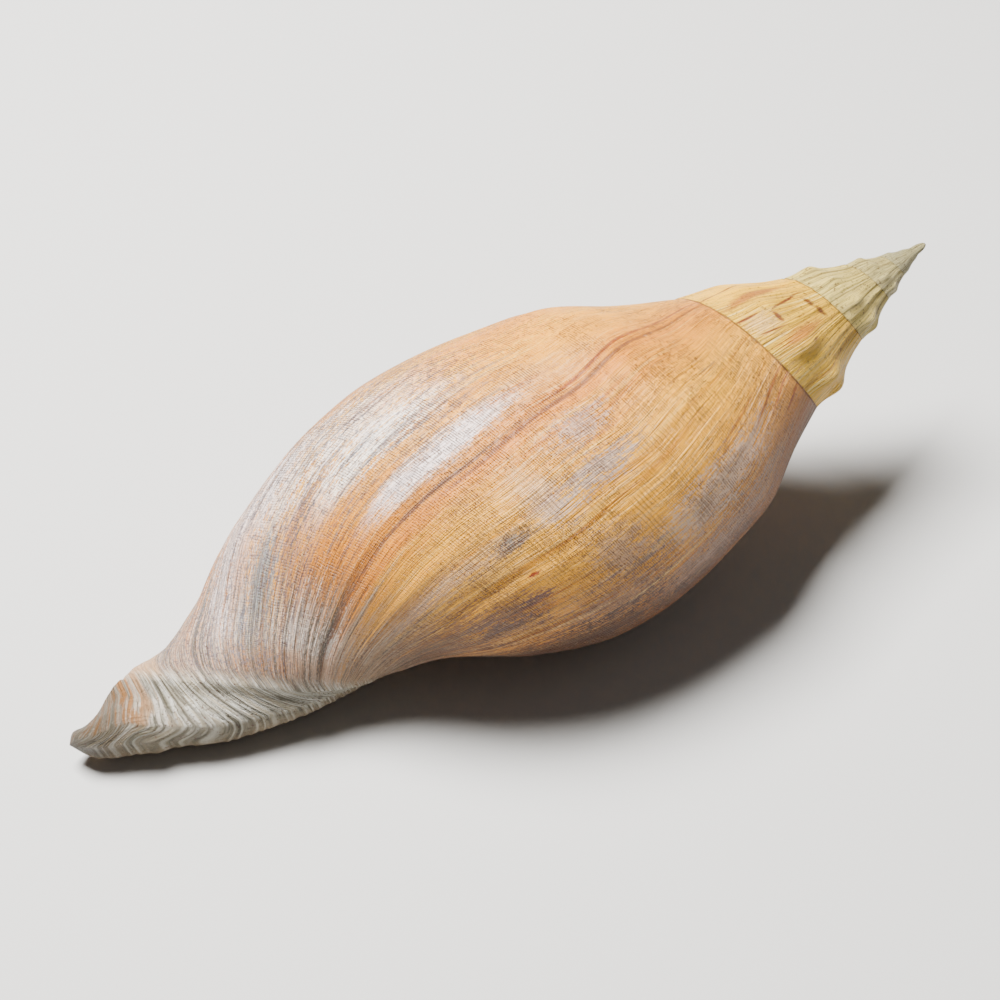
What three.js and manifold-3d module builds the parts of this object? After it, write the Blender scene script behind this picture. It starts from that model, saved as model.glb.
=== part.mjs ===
// A large volute shell lying on its aperture: one spiral growth of shell material, in millimetres, +Z up.
// It is built upright first, with its coiling axis along +Z and its apex near the origin, so that z is the
// distance from the apex. Azimuth is counted in degrees from +Y toward +X. The growth angle runs back
// from the edge of the lip: 0 is the newest shell, 360 is one whorl older. Then the shell is laid down.
import * as THREE from "three";
import { mergeVertices } from "three/addons/utils/BufferGeometryUtils.js";
import Module from "manifold-3d";

// Overall size and growth.
const SHELL_LENGTH = 377.4;
const SUTURE_FROM_APEX = 100;
const HALF_WHORL_GROWTH = 1.3247;
const WHORL_GROWTH = HALF_WHORL_GROWTH ** 2;
const LIP_AZIMUTH = -141.5;
const SPIRE_WHORLS = 5;

// The first whorls grew taller than the later ones, which carries the apex past the origin.
const APEX_RISE = 3.7;
const APEX_RISE_REACH = 60;

// Section of the body whorl in the half plane of the lip, as [distance from the apex, radius]. Both are
// shares of the distance from the apex to the suture, so that the same section serves at every angle.
const SUTURE_RADIUS = 0.405;
const BODY_SECTION = [
  [1, SUTURE_RADIUS],
  [1.23, 0.529],
  [1.51, 0.698],
  [1.8, 0.773],
  [2.08, 0.825],
  [2.4, 0.844],
  [2.71, 0.792],
  [3.02, 0.64],
  [3.36, 0.373],
  [3.81, 0.221],
];
const FASCIOLE_RIDGE = 3.81;

// Section of the older whorls, from one suture to the next: a ramp, a shoulder and a steep side.
const SPIRE_SECTION = [
  [1, SUTURE_RADIUS],
  [1.13, 0.459],
  [1.3, 0.55],
  [1.44, 0.622],
  [1.52, 0.645],
  [1.64, 0.676],
  [WHORL_GROWTH, SUTURE_RADIUS * WHORL_GROWTH],
];
const SPIRE_FORM_FROM = 190;
const SPIRE_FORM_FULL = 312;
const BODY_FORM_AGAIN = 2.7;

// How many degrees the edge of the lip, and each growth line, lags behind its most forward point.
const GROWTH_LINE_LAG = [
  [1, -42],
  [1.23, -22],
  [1.51, -12],
  [1.8, -2.4],
  [2.08, 0],
  [2.4, 3],
  [2.71, 1.5],
  [3.02, 2.5],
  [3.36, 12],
  [3.81, 58],
];

// The middle of the lip stands back a few degrees more, so that the shell rests on two points of it.
const LIP_WAIST_DEPTH = 6;
const LIP_WAIST_CENTRE = 2.05;
const LIP_WAIST_HALF_LENGTH = 0.9;
const LIP_WAIST_REACH = 20;

// Nodules on the shoulder of the spire whorls.
const NODULES_PER_WHORL = 9;
const NODULE_HEIGHT = 0.072;
const NODULE_CENTRE = 1.43;
const NODULE_PHASE = 591;
const NODULE_SHARPNESS = 2.2;
const NODULE_REACH_ABOVE = 0.1;
const NODULE_REACH_BELOW = 0.2;
const NODULES_FROM = 385;
const NODULES_FULL = 560;
const NODULES_WEAKEN_FROM = 1100;
const NODULES_WEAK = 1500;
const NODULES_END = 1750;
const NODULE_LOSS_WHEN_WEAK = 0.55;

// Siphonal canal: radius of the spout along the axis, its bend toward the lip, and the fall from the ridge.
const SPOUT_RADIUS = [
  [215, 18],
  [285, 16.1],
  [330, 13.3],
  [346, 11.9],
  [354, 12.7],
  [361, 10],
  [369, 7.4],
  [374, 5.2],
  [SHELL_LENGTH, 0],
];
const AXIS_BEND = [
  [0, 2.4],
  [30, 2.4],
  [58, 1.9],
  [90, 0.5],
  [115, 0.5],
  [145, 0],
  [175, -0.9],
  [205, -0.8],
  [235, 0.4],
  [260, 0.4],
  [284, -1.9],
  [299, -3.6],
  [315, -7.1],
  [330, -11.1],
  [346, -18.6],
  [354, -22.5],
  [369, -25.8],
  [SHELL_LENGTH, -30.6],
];
const RIDGE_FALL = 6.2;
const TIP_BLUNTNESS = 8;
const RIDGE_CREST_HEIGHT = 1.3;
const RIDGE_CREST_WIDTH = 3.4;

// Hollow of the last whorl, as shares of the distance from the apex to the suture.
const WALL_THICKNESS = 0.034;
const LIP_EDGE_THINNING = 0.012;
const LIP_EDGE_REACH = 5;
const LIP_THIN_FROM_SUTURE = 1.2;
const INNER_GLAZE = 0.01;
const DEEP_HOLLOW_END = 2.95;
const DEEP_HOLLOW_AGE = 110;
const HOLLOW_TAPER_FROM = 0.9;
const HOLLOW_OVERRUN = 0.1;
const NARROWEST_HOLLOW = 0.004;
const PILLAR_SHARE_OF_SPOUT = 0.72;
const PILLAR_FULL_DEPTH = 25;
const PILLAR_FROM_RIDGE = 0.86;
const PILLAR_FULL_RIDGE = 1.1;
const NARROWEST_MOUTH_RADIUS = 0.5;
const MOUTH_CLEARANCE = 0.0012;
const FOLD_CENTRES = [2.4, 2.66, 2.92];
const FOLD_HEIGHT = 0.034;
const FOLD_WIDTH = 0.085;
const FOLDS_FROM = -36;
const FOLDS_FULL = -8;

// The open canal in the mouth: distances from the apex, and how slim the pillar becomes along it.
const CANAL_FROM = 282;
const CANAL_FULL = 325;
const CANAL_WALL_TURN = 32;
const CANAL_SHARE_OF_SPOUT = 0.3;
const HOLLOW_END_Z = 360;

// Mesh fineness.
const COLUMNS_PER_WHORL = 42;
const ROWS_TO_NEXT_SUTURE = 7;
const ROWS_TO_RIDGE = 16;
const ROWS_OF_SPOUT = 16;
const ROWS_OF_TIP = 4;
const APEX_RINGS = 3;
const MOUTH_COLUMNS = 6;
const LIP_SEARCH_STEPS = 12;
const FIRST_HOLLOW_ROW = 2;
const OUTER_WALL_ROWS = 13;
const HOLLOW_AGES = [0, 2.5, 5, 22, 40, 60, 80, 100, 120, 154, 188, 222, 256, 290, 326, 362, 400, 440, 485, 530];

// Lying position: the shell rolls about its own axis onto its aperture, lies down with its canal end
// dipping, and turns so that its spire points along +X. It rests on two points of the lip and one of the
// body whorl. The last step brings the middle of its underside to the origin.
const ROLL_TO_APERTURE = -33.49;
const CANAL_DIP = 15.52;
const TURN_TO_X = -90;
const REST_SHIFT = [182.12, -10.48, 95.2];

const SHELL_COLOUR = 0xd9ab78;
const SHELL_ROUGHNESS = 0.55;

const radians = THREE.MathUtils.degToRad;
const smoothstep = THREE.MathUtils.smoothstep;
const lerp = THREE.MathUtils.lerp;

// A smooth function through the given [x, y] points; outside them it keeps the end values.
function curveThrough(points) {
  const slope = (i) => (points[i + 1][1] - points[i][1]) / (points[i + 1][0] - points[i][0]);
  const tangents = points.map((point, i) => {
    if (i === 0) return slope(0);
    if (i === points.length - 1) return slope(i - 1);
    const before = points[i][0] - points[i - 1][0];
    const after = points[i + 1][0] - points[i][0];
    return (slope(i - 1) * after + slope(i) * before) / (before + after);
  });
  return (x) => {
    if (x <= points[0][0]) return points[0][1];
    let i = 1;
    while (i < points.length - 1 && points[i][0] < x) i += 1;
    const [x0, y0] = points[i - 1];
    const [x1, y1] = points[i];
    if (x >= x1) return y1;
    const h = x1 - x0;
    const u = (x - x0) / h;
    return (
      y0 * (1 + 2 * u) * (1 - u) ** 2 +
      h * tangents[i - 1] * u * (1 - u) ** 2 +
      y1 * u * u * (3 - 2 * u) +
      h * tangents[i] * u * u * (u - 1)
    );
  };
}

const bodySection = curveThrough(BODY_SECTION);
const spireSection = curveThrough(SPIRE_SECTION);
const growthLineLag = curveThrough(GROWTH_LINE_LAG);
const spoutRadius = curveThrough(SPOUT_RADIUS);
const axisBend = curveThrough(AXIS_BEND);

// Distance from the apex to the suture at an angle behind the lip.
function sutureAt(angle) {
  return SUTURE_FROM_APEX * HALF_WHORL_GROWTH ** (-angle / 180);
}

// How far the shoulder stands out in a nodule, as a share of the distance to the suture.
function noduleHeight(angle, along) {
  const strength =
    smoothstep(angle, NODULES_FROM, NODULES_FULL) *
    (1 - NODULE_LOSS_WHEN_WEAK * smoothstep(angle, NODULES_WEAKEN_FROM, NODULES_WEAK)) *
    (1 - smoothstep(angle, NODULES_WEAK, NODULES_END));
  const turn = radians((angle - NODULE_PHASE) * NODULES_PER_WHORL);
  const around = (0.5 + 0.5 * Math.cos(turn)) ** NODULE_SHARPNESS;
  const reach = along < NODULE_CENTRE ? NODULE_REACH_ABOVE : NODULE_REACH_BELOW;
  return NODULE_HEIGHT * strength * around * Math.exp(-(((along - NODULE_CENTRE) / reach) ** 2));
}

// Radius of the outside, as a share of the distance to the suture. The body form passes to the spire form
// with age, and below the next suture the difference fades out along the section.
function outerRadius(angle, along) {
  const spireForm = smoothstep(angle, SPIRE_FORM_FROM, SPIRE_FORM_FULL);
  const body = bodySection(along);
  if (along <= WHORL_GROWTH) {
    return lerp(body, spireSection(along), spireForm) + noduleHeight(angle, along);
  }
  const step = SUTURE_RADIUS * WHORL_GROWTH - bodySection(WHORL_GROWTH);
  return body + spireForm * step * (1 - smoothstep(along, WHORL_GROWTH, BODY_FORM_AGAIN));
}

// Radius of the outside in millimetres at a distance from the apex: the whorl down to the ridge of the
// fasciole, and the spout below it.
function outsideRadius(angle, z) {
  const suture = sutureAt(angle);
  const ridge = suture * FASCIOLE_RIDGE;
  const crest = RIDGE_CREST_HEIGHT * Math.exp(-(((z - ridge) / RIDGE_CREST_WIDTH) ** 2));
  if (z <= ridge) return suture * outerRadius(angle, z / suture) + crest;
  const step = suture * outerRadius(angle, FASCIOLE_RIDGE) - spoutRadius(ridge);
  const closing = Math.sqrt(Math.max(0, 1 - ((z - ridge) / (SHELL_LENGTH - ridge)) ** TIP_BLUNTNESS));
  return spoutRadius(z) + (step * Math.exp((ridge - z) / RIDGE_FALL) + crest) * closing;
}

// A point given by its angle behind the lip, distance from the apex and radius.
function shellPoint(angle, z, radius) {
  const azimuth = radians(LIP_AZIMUTH + angle);
  const rise = APEX_RISE * Math.max(0, 1 - z / APEX_RISE_REACH) ** 2;
  return [radius * Math.sin(azimuth) + axisBend(z), radius * Math.cos(azimuth), z - rise];
}

// Evenly spaced numbers from start to end, both included.
function steps(start, end, count) {
  return Array.from({ length: count + 1 }, (_, i) => lerp(start, end, i / count));
}

// Collects points once and triangles by their numbers, then gives the closed solid.
class Surface {
  constructor() {
    this.points = [];
    this.triangles = [];
  }

  point(position) {
    this.points.push(...position);
    return this.points.length / 3 - 1;
  }

  quad(a, b, c, d) {
    this.triangles.push(a, b, c, a, c, d);
  }

  solid(wasm) {
    const geometry = new THREE.BufferGeometry();
    geometry.setAttribute("position", new THREE.Float32BufferAttribute(this.points, 3));
    geometry.setIndex(this.triangles);
    return solidFrom(wasm, geometry);
  }
}

// A closed geometry as a solid that can be joined and cut.
function solidFrom(wasm, geometry) {
  const merged = mergeVertices(geometry, 1e-4);
  const mesh = new wasm.Mesh({
    numProp: 3,
    vertProperties: merged.attributes.position.array,
    triVerts: new Uint32Array(merged.index.array),
  });
  return new wasm.Manifold(mesh);
}

// Angle behind the lip of a growth line, which follows the shape of the lip near the mouth and straightens
// with age until it lies in a plane of the axis.
const LAST_ANGLE = 360 + growthLineLag(1);
const INNER_LIP_ANGLE = LAST_ANGLE - 360;
function angleOnLine(age, along) {
  const fromCentre = Math.min(1, Math.abs(along - LIP_WAIST_CENTRE) / LIP_WAIST_HALF_LENGTH);
  const waist = LIP_WAIST_DEPTH * (1 - fromCentre ** 2) ** 2 * Math.max(0, 1 - age / LIP_WAIST_REACH);
  return age + waist + growthLineLag(along) * (1 - Math.min(1, age / LAST_ANGLE));
}

// Distances from the apex of the spout's rows at an angle: from the ridge to the end of the hollow in
// the mouth, and then closer together to the tip.
function spoutRows(ridge, end) {
  const turns = steps(0, Math.PI / 2, ROWS_OF_TIP).slice(1);
  return [
    ...steps(ridge, end, ROWS_OF_SPOUT).slice(1),
    ...turns.map((turn) => lerp(end, SHELL_LENGTH, Math.sin(turn))),
  ];
}

// The last whorl, one column of points for each growth line, from the suture to the tip of the canal.
function bodyColumns(surface) {
  const toSuture = steps(1, WHORL_GROWTH, ROWS_TO_NEXT_SUTURE);
  const toRidge = steps(WHORL_GROWTH, FASCIOLE_RIDGE, ROWS_TO_RIDGE).slice(1);
  return steps(0, LAST_ANGLE, COLUMNS_PER_WHORL).map((age) => {
    const edge = LIP_EDGE_THINNING * Math.max(0, 1 - age / LIP_EDGE_REACH) ** 2;
    const whorl = [...toSuture, ...toRidge].map((along) => {
      const angle = angleOnLine(age, along);
      const z = sutureAt(angle) * along;
      const inset = sutureAt(angle) * edge * smoothstep(along, 1, LIP_THIN_FROM_SUTURE);
      return surface.point(shellPoint(angle, z, outsideRadius(angle, z) - inset));
    });
    const angle = angleOnLine(age, FASCIOLE_RIDGE);
    const spout = spoutRows(sutureAt(angle) * FASCIOLE_RIDGE, HOLLOW_END_Z).map((z) =>
      surface.point(shellPoint(angle, z, outsideRadius(angle, z))),
    );
    return [...whorl, ...spout];
  });
}

// One older whorl: its first column and its lowest row are those of the whorls that it meets.
function spireColumns(surface, newer, turn) {
  const along = steps(1, WHORL_GROWTH, ROWS_TO_NEXT_SUTURE);
  return steps(0, LAST_ANGLE, COLUMNS_PER_WHORL).map((age, column) => {
    if (column === 0) return newer[COLUMNS_PER_WHORL].slice(0, along.length);
    const angle = angleOnLine(age, 1) + 360 * turn;
    const suture = sutureAt(angle);
    const points = along
      .slice(0, -1)
      .map((share) =>
        surface.point(shellPoint(angle, suture * share, suture * outerRadius(angle, share))),
      );
    return [...points, newer[column][0]];
  });
}

// Faces between neighbouring columns of one whorl.
function skin(surface, columns) {
  for (let i = 1; i < columns.length; i += 1) {
    for (let j = 1; j < columns[i].length; j += 1) {
      surface.quad(columns[i - 1][j - 1], columns[i - 1][j], columns[i][j], columns[i][j - 1]);
    }
  }
}

// The rounded nucleus, from the open edge of the oldest whorl to the apex.
function nucleus(surface, oldest) {
  const last = oldest[COLUMNS_PER_WHORL];
  let ring = [...oldest.map((column) => column[0]), ...last.slice(1, ROWS_TO_NEXT_SUTURE)];
  const start = ring.map((n) => surface.points.slice(3 * n, 3 * n + 3));
  const centre = axisBend(0);
  for (let k = 1; k <= APEX_RINGS; k += 1) {
    const turn = (k / APEX_RINGS) * (Math.PI / 2);
    const wide = Math.cos(turn);
    const next = start.map(([x, y, z]) =>
      surface.point([centre + (x - centre) * wide, y * wide, lerp(z, -APEX_RISE, Math.sin(turn))]),
    );
    ring.forEach((n, i) => {
      const after = (i + 1) % ring.length;
      surface.quad(n, ring[after], next[after], next[i]);
    });
    ring = next;
  }
}

// Height of the folds on the pillar, as a share of the distance to the suture.
function foldHeight(angle, along) {
  const height = FOLD_HEIGHT * smoothstep(angle, FOLDS_FROM, FOLDS_FULL);
  const shape = (centre) => Math.exp(-(((along - centre) / FOLD_WIDTH) ** 2));
  return FOLD_CENTRES.reduce((sum, centre) => sum + height * shape(centre), 0);
}

// Inner wall of the hollow in millimetres: the outside of the whorl one turn older, which passes to the
// slimmer pillar of the spout further inside, with its folds.
function innerWall(angle, z) {
  const suture = sutureAt(angle);
  const along = z / suture;
  const ridge = FASCIOLE_RIDGE / WHORL_GROWTH;
  const onPillar = smoothstep(along, PILLAR_FROM_RIDGE * ridge, PILLAR_FULL_RIDGE * ridge);
  const inside = smoothstep(angle, INNER_LIP_ANGLE, PILLAR_FULL_DEPTH);
  const slimmer = lerp(1, PILLAR_SHARE_OF_SPOUT, onPillar * inside);
  const canalWall = smoothstep(angle, INNER_LIP_ANGLE, INNER_LIP_ANGLE + CANAL_WALL_TURN);
  const inCanal = smoothstep(z, CANAL_FROM, CANAL_FULL) * canalWall;
  const share = lerp(slimmer, CANAL_SHARE_OF_SPOUT, inCanal);
  const raised = suture * (INNER_GLAZE + foldHeight(angle, along)) * (1 - inCanal);
  return outsideRadius(angle + 360, z) * share + raised;
}

// Distances from the apex at the rows of the inner wall at an angle: from the suture to the older whorl's
// ridge, and from there to the given end of the hollow.
const INNER_RIDGE = FASCIOLE_RIDGE / WHORL_GROWTH;
function innerRow(angle, row, end) {
  const suture = sutureAt(angle);
  if (row <= ROWS_TO_RIDGE) return suture * lerp(1, INNER_RIDGE, row / ROWS_TO_RIDGE);
  return lerp(suture * INNER_RIDGE, end, Math.min(1, (row - ROWS_TO_RIDGE) / ROWS_OF_SPOUT));
}

// Angle of the mouth's surface: at share 0 on the inner lip, at share 1 on the edge of the outer lip.
function mouthAngle(share, row) {
  return lerp(INNER_LIP_ANGLE, lipRows[Math.min(row, lipRows.length - 1)], share);
}

// Angles of the outer lip's edge at the rows of the inner wall, found by walking along the edge.
const lipRows = steps(0, ROWS_TO_RIDGE + ROWS_OF_SPOUT, ROWS_TO_RIDGE + ROWS_OF_SPOUT).map((row) => {
  let angle = growthLineLag(1);
  for (let step = 0; step < LIP_SEARCH_STEPS; step += 1) {
    angle = angleOnLine(0, innerRow(angle, row, HOLLOW_END_Z) / sutureAt(angle));
  }
  return angle;
});

// The mouth: the glazed outside of the older whorl and of the pillar, from the inner lip to the plane of
// the outer lip, and then that plane out to the edge of the outer lip.
function mouth(surface, columns) {
  const innerLip = columns[COLUMNS_PER_WHORL].slice(ROWS_TO_NEXT_SUTURE);
  const grid = steps(0, 1, MOUTH_COLUMNS).map((share) => {
    if (share === 0) return innerLip;
    return innerLip.map((corner, row) => {
      if (row === 0 || row === innerLip.length - 1) return corner;
      const angle = mouthAngle(share, row);
      const tipTurn = ((row - ROWS_TO_RIDGE - ROWS_OF_SPOUT) / ROWS_OF_TIP) * (Math.PI / 2);
      const toTip = Math.sin(Math.max(0, tipTurn));
      const z = lerp(innerRow(angle, row, HOLLOW_END_Z), SHELL_LENGTH, toTip);
      const glaze = sutureAt(angle) * lerp(INNER_GLAZE, MOUTH_CLEARANCE, share) * (1 - toTip);
      const radius = Math.max(NARROWEST_MOUTH_RADIUS, innerWall(angle, z) - glaze);
      return surface.point(shellPoint(angle, z, radius));
    });
  });
  skin(surface, grid);
  zip(surface, columns[0], grid[MOUTH_COLUMNS]);
}

// Fills the strip between two rows of points, whose heights rise together.
function zip(surface, outer, inner) {
  const height = (row, n) => (n < row.length ? surface.points[3 * row[n] + 2] : Infinity);
  let i = 0;
  let j = 0;
  while (i < outer.length - 1 || j < inner.length - 1) {
    if (height(outer, i + 1) <= height(inner, j + 1)) {
      surface.triangles.push(outer[i], inner[j], outer[i + 1]);
      i += 1;
    } else {
      surface.triangles.push(outer[i], inner[j], inner[j + 1]);
      j += 1;
    }
  }
}

// The whole outside as one closed body.
function outside(wasm) {
  const surface = new Surface();
  const body = bodyColumns(surface);
  skin(surface, body);
  mouth(surface, body);
  let newer = body;
  for (let turn = 1; turn <= SPIRE_WHORLS; turn += 1) {
    const older = spireColumns(surface, newer, turn);
    skin(surface, older);
    newer = older;
  }
  nucleus(surface, newer);
  return surface.solid(wasm);
}

// One closed loop of the hollow at an age: out along the outer wall and back along the inner wall. At
// ages from -1 to 0 it lies outside the mouth, over the mouth's surface.
function hollowLoop(surface, age) {
  const thinning = LIP_EDGE_THINNING * Math.max(0, 1 - Math.max(age, 0) / LIP_EDGE_REACH) ** 2;
  const deep = smoothstep(age, 0, DEEP_HOLLOW_AGE);
  const place = (row) => {
    const lip = lipRows[Math.round(row)];
    const angle = age < 0 ? lerp(lip, INNER_LIP_ANGLE, -age) : age + lip * (1 - age / LAST_ANGLE);
    const end = lerp(HOLLOW_END_Z, sutureAt(angle) * DEEP_HOLLOW_END, deep);
    return { angle, z: innerRow(angle, row, end) };
  };
  const lastRow = ROWS_TO_RIDGE + ROWS_OF_SPOUT;
  const rows = steps(FIRST_HOLLOW_ROW, lastRow, lastRow - FIRST_HOLLOW_ROW);
  const inner = rows.map((row) => {
    const { angle, z } = place(row);
    return surface.point(shellPoint(angle, z, innerWall(angle, z)));
  });
  const outer = steps(FIRST_HOLLOW_ROW, lastRow, OUTER_WALL_ROWS).map((row) => {
    const { angle, z } = place(row);
    const suture = sutureAt(angle);
    const inside = innerWall(angle, z);
    const taper = 1 - smoothstep(row / lastRow, HOLLOW_TAPER_FROM, 1);
    const room = outsideRadius(angle, z) - suture * (WALL_THICKNESS - thinning) - inside;
    return surface.point(
      shellPoint(angle, z, inside + Math.max(room * taper, suture * NARROWEST_HOLLOW)),
    );
  });
  return { outer, inner };
}

// Joins closed loops of points into a tube.
function tube(surface, loops) {
  const count = loops[0].length;
  for (let k = 1; k < loops.length; k += 1) {
    for (let i = 0; i < count; i += 1) {
      const after = (i + 1) % count;
      surface.quad(loops[k - 1][i], loops[k - 1][after], loops[k][after], loops[k][i]);
    }
  }
}

// The hollow of the last whorl, from over the mouth to a turn and a half inside.
function hollow(wasm) {
  const surface = new Surface();
  const overMouth = steps(-1, 0, MOUTH_COLUMNS).slice(0, -1);
  const walls = [-1 - HOLLOW_OVERRUN, ...overMouth, ...HOLLOW_AGES].map((age) =>
    hollowLoop(surface, age),
  );
  tube(
    surface,
    walls.map(({ outer, inner }) => [...outer, ...[...inner].reverse()]),
  );
  const first = walls[0];
  const last = walls[walls.length - 1];
  zip(surface, first.outer, first.inner);
  zip(surface, last.inner, last.outer);
  return surface.solid(wasm);
}

// The shell laid on its aperture, as a mesh.
function shellMesh(wasm) {
  const cut = outside(wasm).subtract(hollow(wasm));
  const bodies = cut.decompose().sort((a, b) => b.volume() - a.volume());
  const made = bodies[0].getMesh();
  const geometry = new THREE.BufferGeometry();
  geometry.setAttribute("position", new THREE.BufferAttribute(made.vertProperties, 3));
  geometry.setIndex(new THREE.BufferAttribute(made.triVerts, 1));
  geometry.rotateZ(radians(ROLL_TO_APERTURE));
  geometry.rotateX(radians(90 + CANAL_DIP));
  geometry.rotateZ(radians(TURN_TO_X));
  geometry.translate(...REST_SHIFT);
  const material = new THREE.MeshStandardMaterial({
    color: SHELL_COLOUR,
    roughness: SHELL_ROUGHNESS,
    metalness: 0,
  });
  const mesh = new THREE.Mesh(geometry, material);
  mesh.name = "shell";
  return mesh;
}

const wasm = await Module();
wasm.setup();

const group = new THREE.Group();
group.add(shellMesh(wasm));

export default group;
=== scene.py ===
"""A large volute shell lying on its mouth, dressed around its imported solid.

The surface is made in the shell's own upright frame in millimetres: the apex at the origin, the coiling
axis along +Z, azimuth in degrees from +Y toward +X. It is then laid on its mouth, in metres.
"""

import logging
import math
from dataclasses import dataclass, field
from enum import Enum

import bpy
import numpy as np
from mathutils import Matrix, Vector
from mathutils.kdtree import KDTree


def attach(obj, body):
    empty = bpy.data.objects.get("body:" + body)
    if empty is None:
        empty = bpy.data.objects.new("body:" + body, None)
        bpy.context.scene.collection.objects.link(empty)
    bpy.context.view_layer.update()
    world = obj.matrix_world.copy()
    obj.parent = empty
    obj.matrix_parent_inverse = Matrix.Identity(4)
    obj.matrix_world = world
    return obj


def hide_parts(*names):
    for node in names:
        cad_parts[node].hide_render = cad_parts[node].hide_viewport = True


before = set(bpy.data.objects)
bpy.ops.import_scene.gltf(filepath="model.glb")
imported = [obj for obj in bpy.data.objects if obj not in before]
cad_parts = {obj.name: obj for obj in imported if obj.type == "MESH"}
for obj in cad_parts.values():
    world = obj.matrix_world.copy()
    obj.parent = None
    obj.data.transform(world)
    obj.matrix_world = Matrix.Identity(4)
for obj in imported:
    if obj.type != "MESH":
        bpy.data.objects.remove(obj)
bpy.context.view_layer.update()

LOG = logging.getLogger("volute")
MM = 0.001

Array = np.ndarray
Span = tuple[float, float]
Triple = tuple[float, float, float]
Colour = tuple[float, float, float, float]

# The canal's scales: their distance in millimetres at the ridge, and how far it varies (in scales) and how
# fast (in radians for each millimetre). The relief and the colours both follow them.
SCALE_PITCH = 2.8
SCALE_SWAY = 0.25
SCALE_SWAY_RATE = 0.9


def linked(name: str, data: bpy.types.ID) -> bpy.types.Object:
    """Link a new object to the scene.

    Args:
        name: Its name.
        data: Its mesh, light or camera.

    Returns:
        The object.
    """
    thing = bpy.data.objects.new(name, data)
    bpy.context.scene.collection.objects.link(thing)
    return thing


def smoothstep(x: Array, low: float, high: float) -> Array:
    """Rise from 0 at low to 1 at high.

    Args:
        x: Values to map.
        low: Where the rise starts.
        high: Where the rise ends.

    Returns:
        Values from 0 to 1.
    """
    t = np.clip((np.asarray(x, float) - low) / (high - low), 0.0, 1.0)
    return t * t * (3.0 - 2.0 * t)


def mix(a: Array, b: Array, share: Array) -> Array:
    """Return a at share 0, b at share 1 and the line between them."""
    return a + (b - a) * share


@dataclass(frozen=True)
class Curve:
    """A smooth function through given points, which keeps its end values outside them.

    Attributes:
        points: Pairs of x and y, in rising x.
    """

    points: tuple[Span, ...]

    def __call__(self, x: Array) -> Array:
        """Return the curve's values.

        Args:
            x: Places to read the curve at.

        Returns:
            One value for each place.
        """
        px, py = np.array(self.points).T
        slope = np.diff(py) / np.diff(px)
        before, after = np.diff(px)[:-1], np.diff(px)[1:]
        inner = (slope[:-1] * after + slope[1:] * before) / (before + after)
        tangent = np.concatenate([slope[:1], inner, slope[-1:]])
        x = np.clip(np.asarray(x, float), px[0], px[-1])
        i = np.clip(np.searchsorted(px, x, side="left"), 1, len(px) - 1)
        h = px[i] - px[i - 1]
        u = (x - px[i - 1]) / h
        return (
            py[i - 1] * (1 + 2 * u) * (1 - u) ** 2
            + h * tangent[i - 1] * u * (1 - u) ** 2
            + py[i] * u * u * (3 - 2 * u)
            + h * tangent[i] * u * u * (u - 1)
        )


def ripple(x: Array, waves: tuple[Triple, ...]) -> Array:
    """Return an uneven wave, made of several even ones.

    Args:
        x: Places along the wave.
        waves: Length, height and phase of each even wave.

    Returns:
        Heights, both signs.
    """
    return sum(height * np.sin(2 * math.pi * x / length + phase) for length, height, phase in waves)


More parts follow.
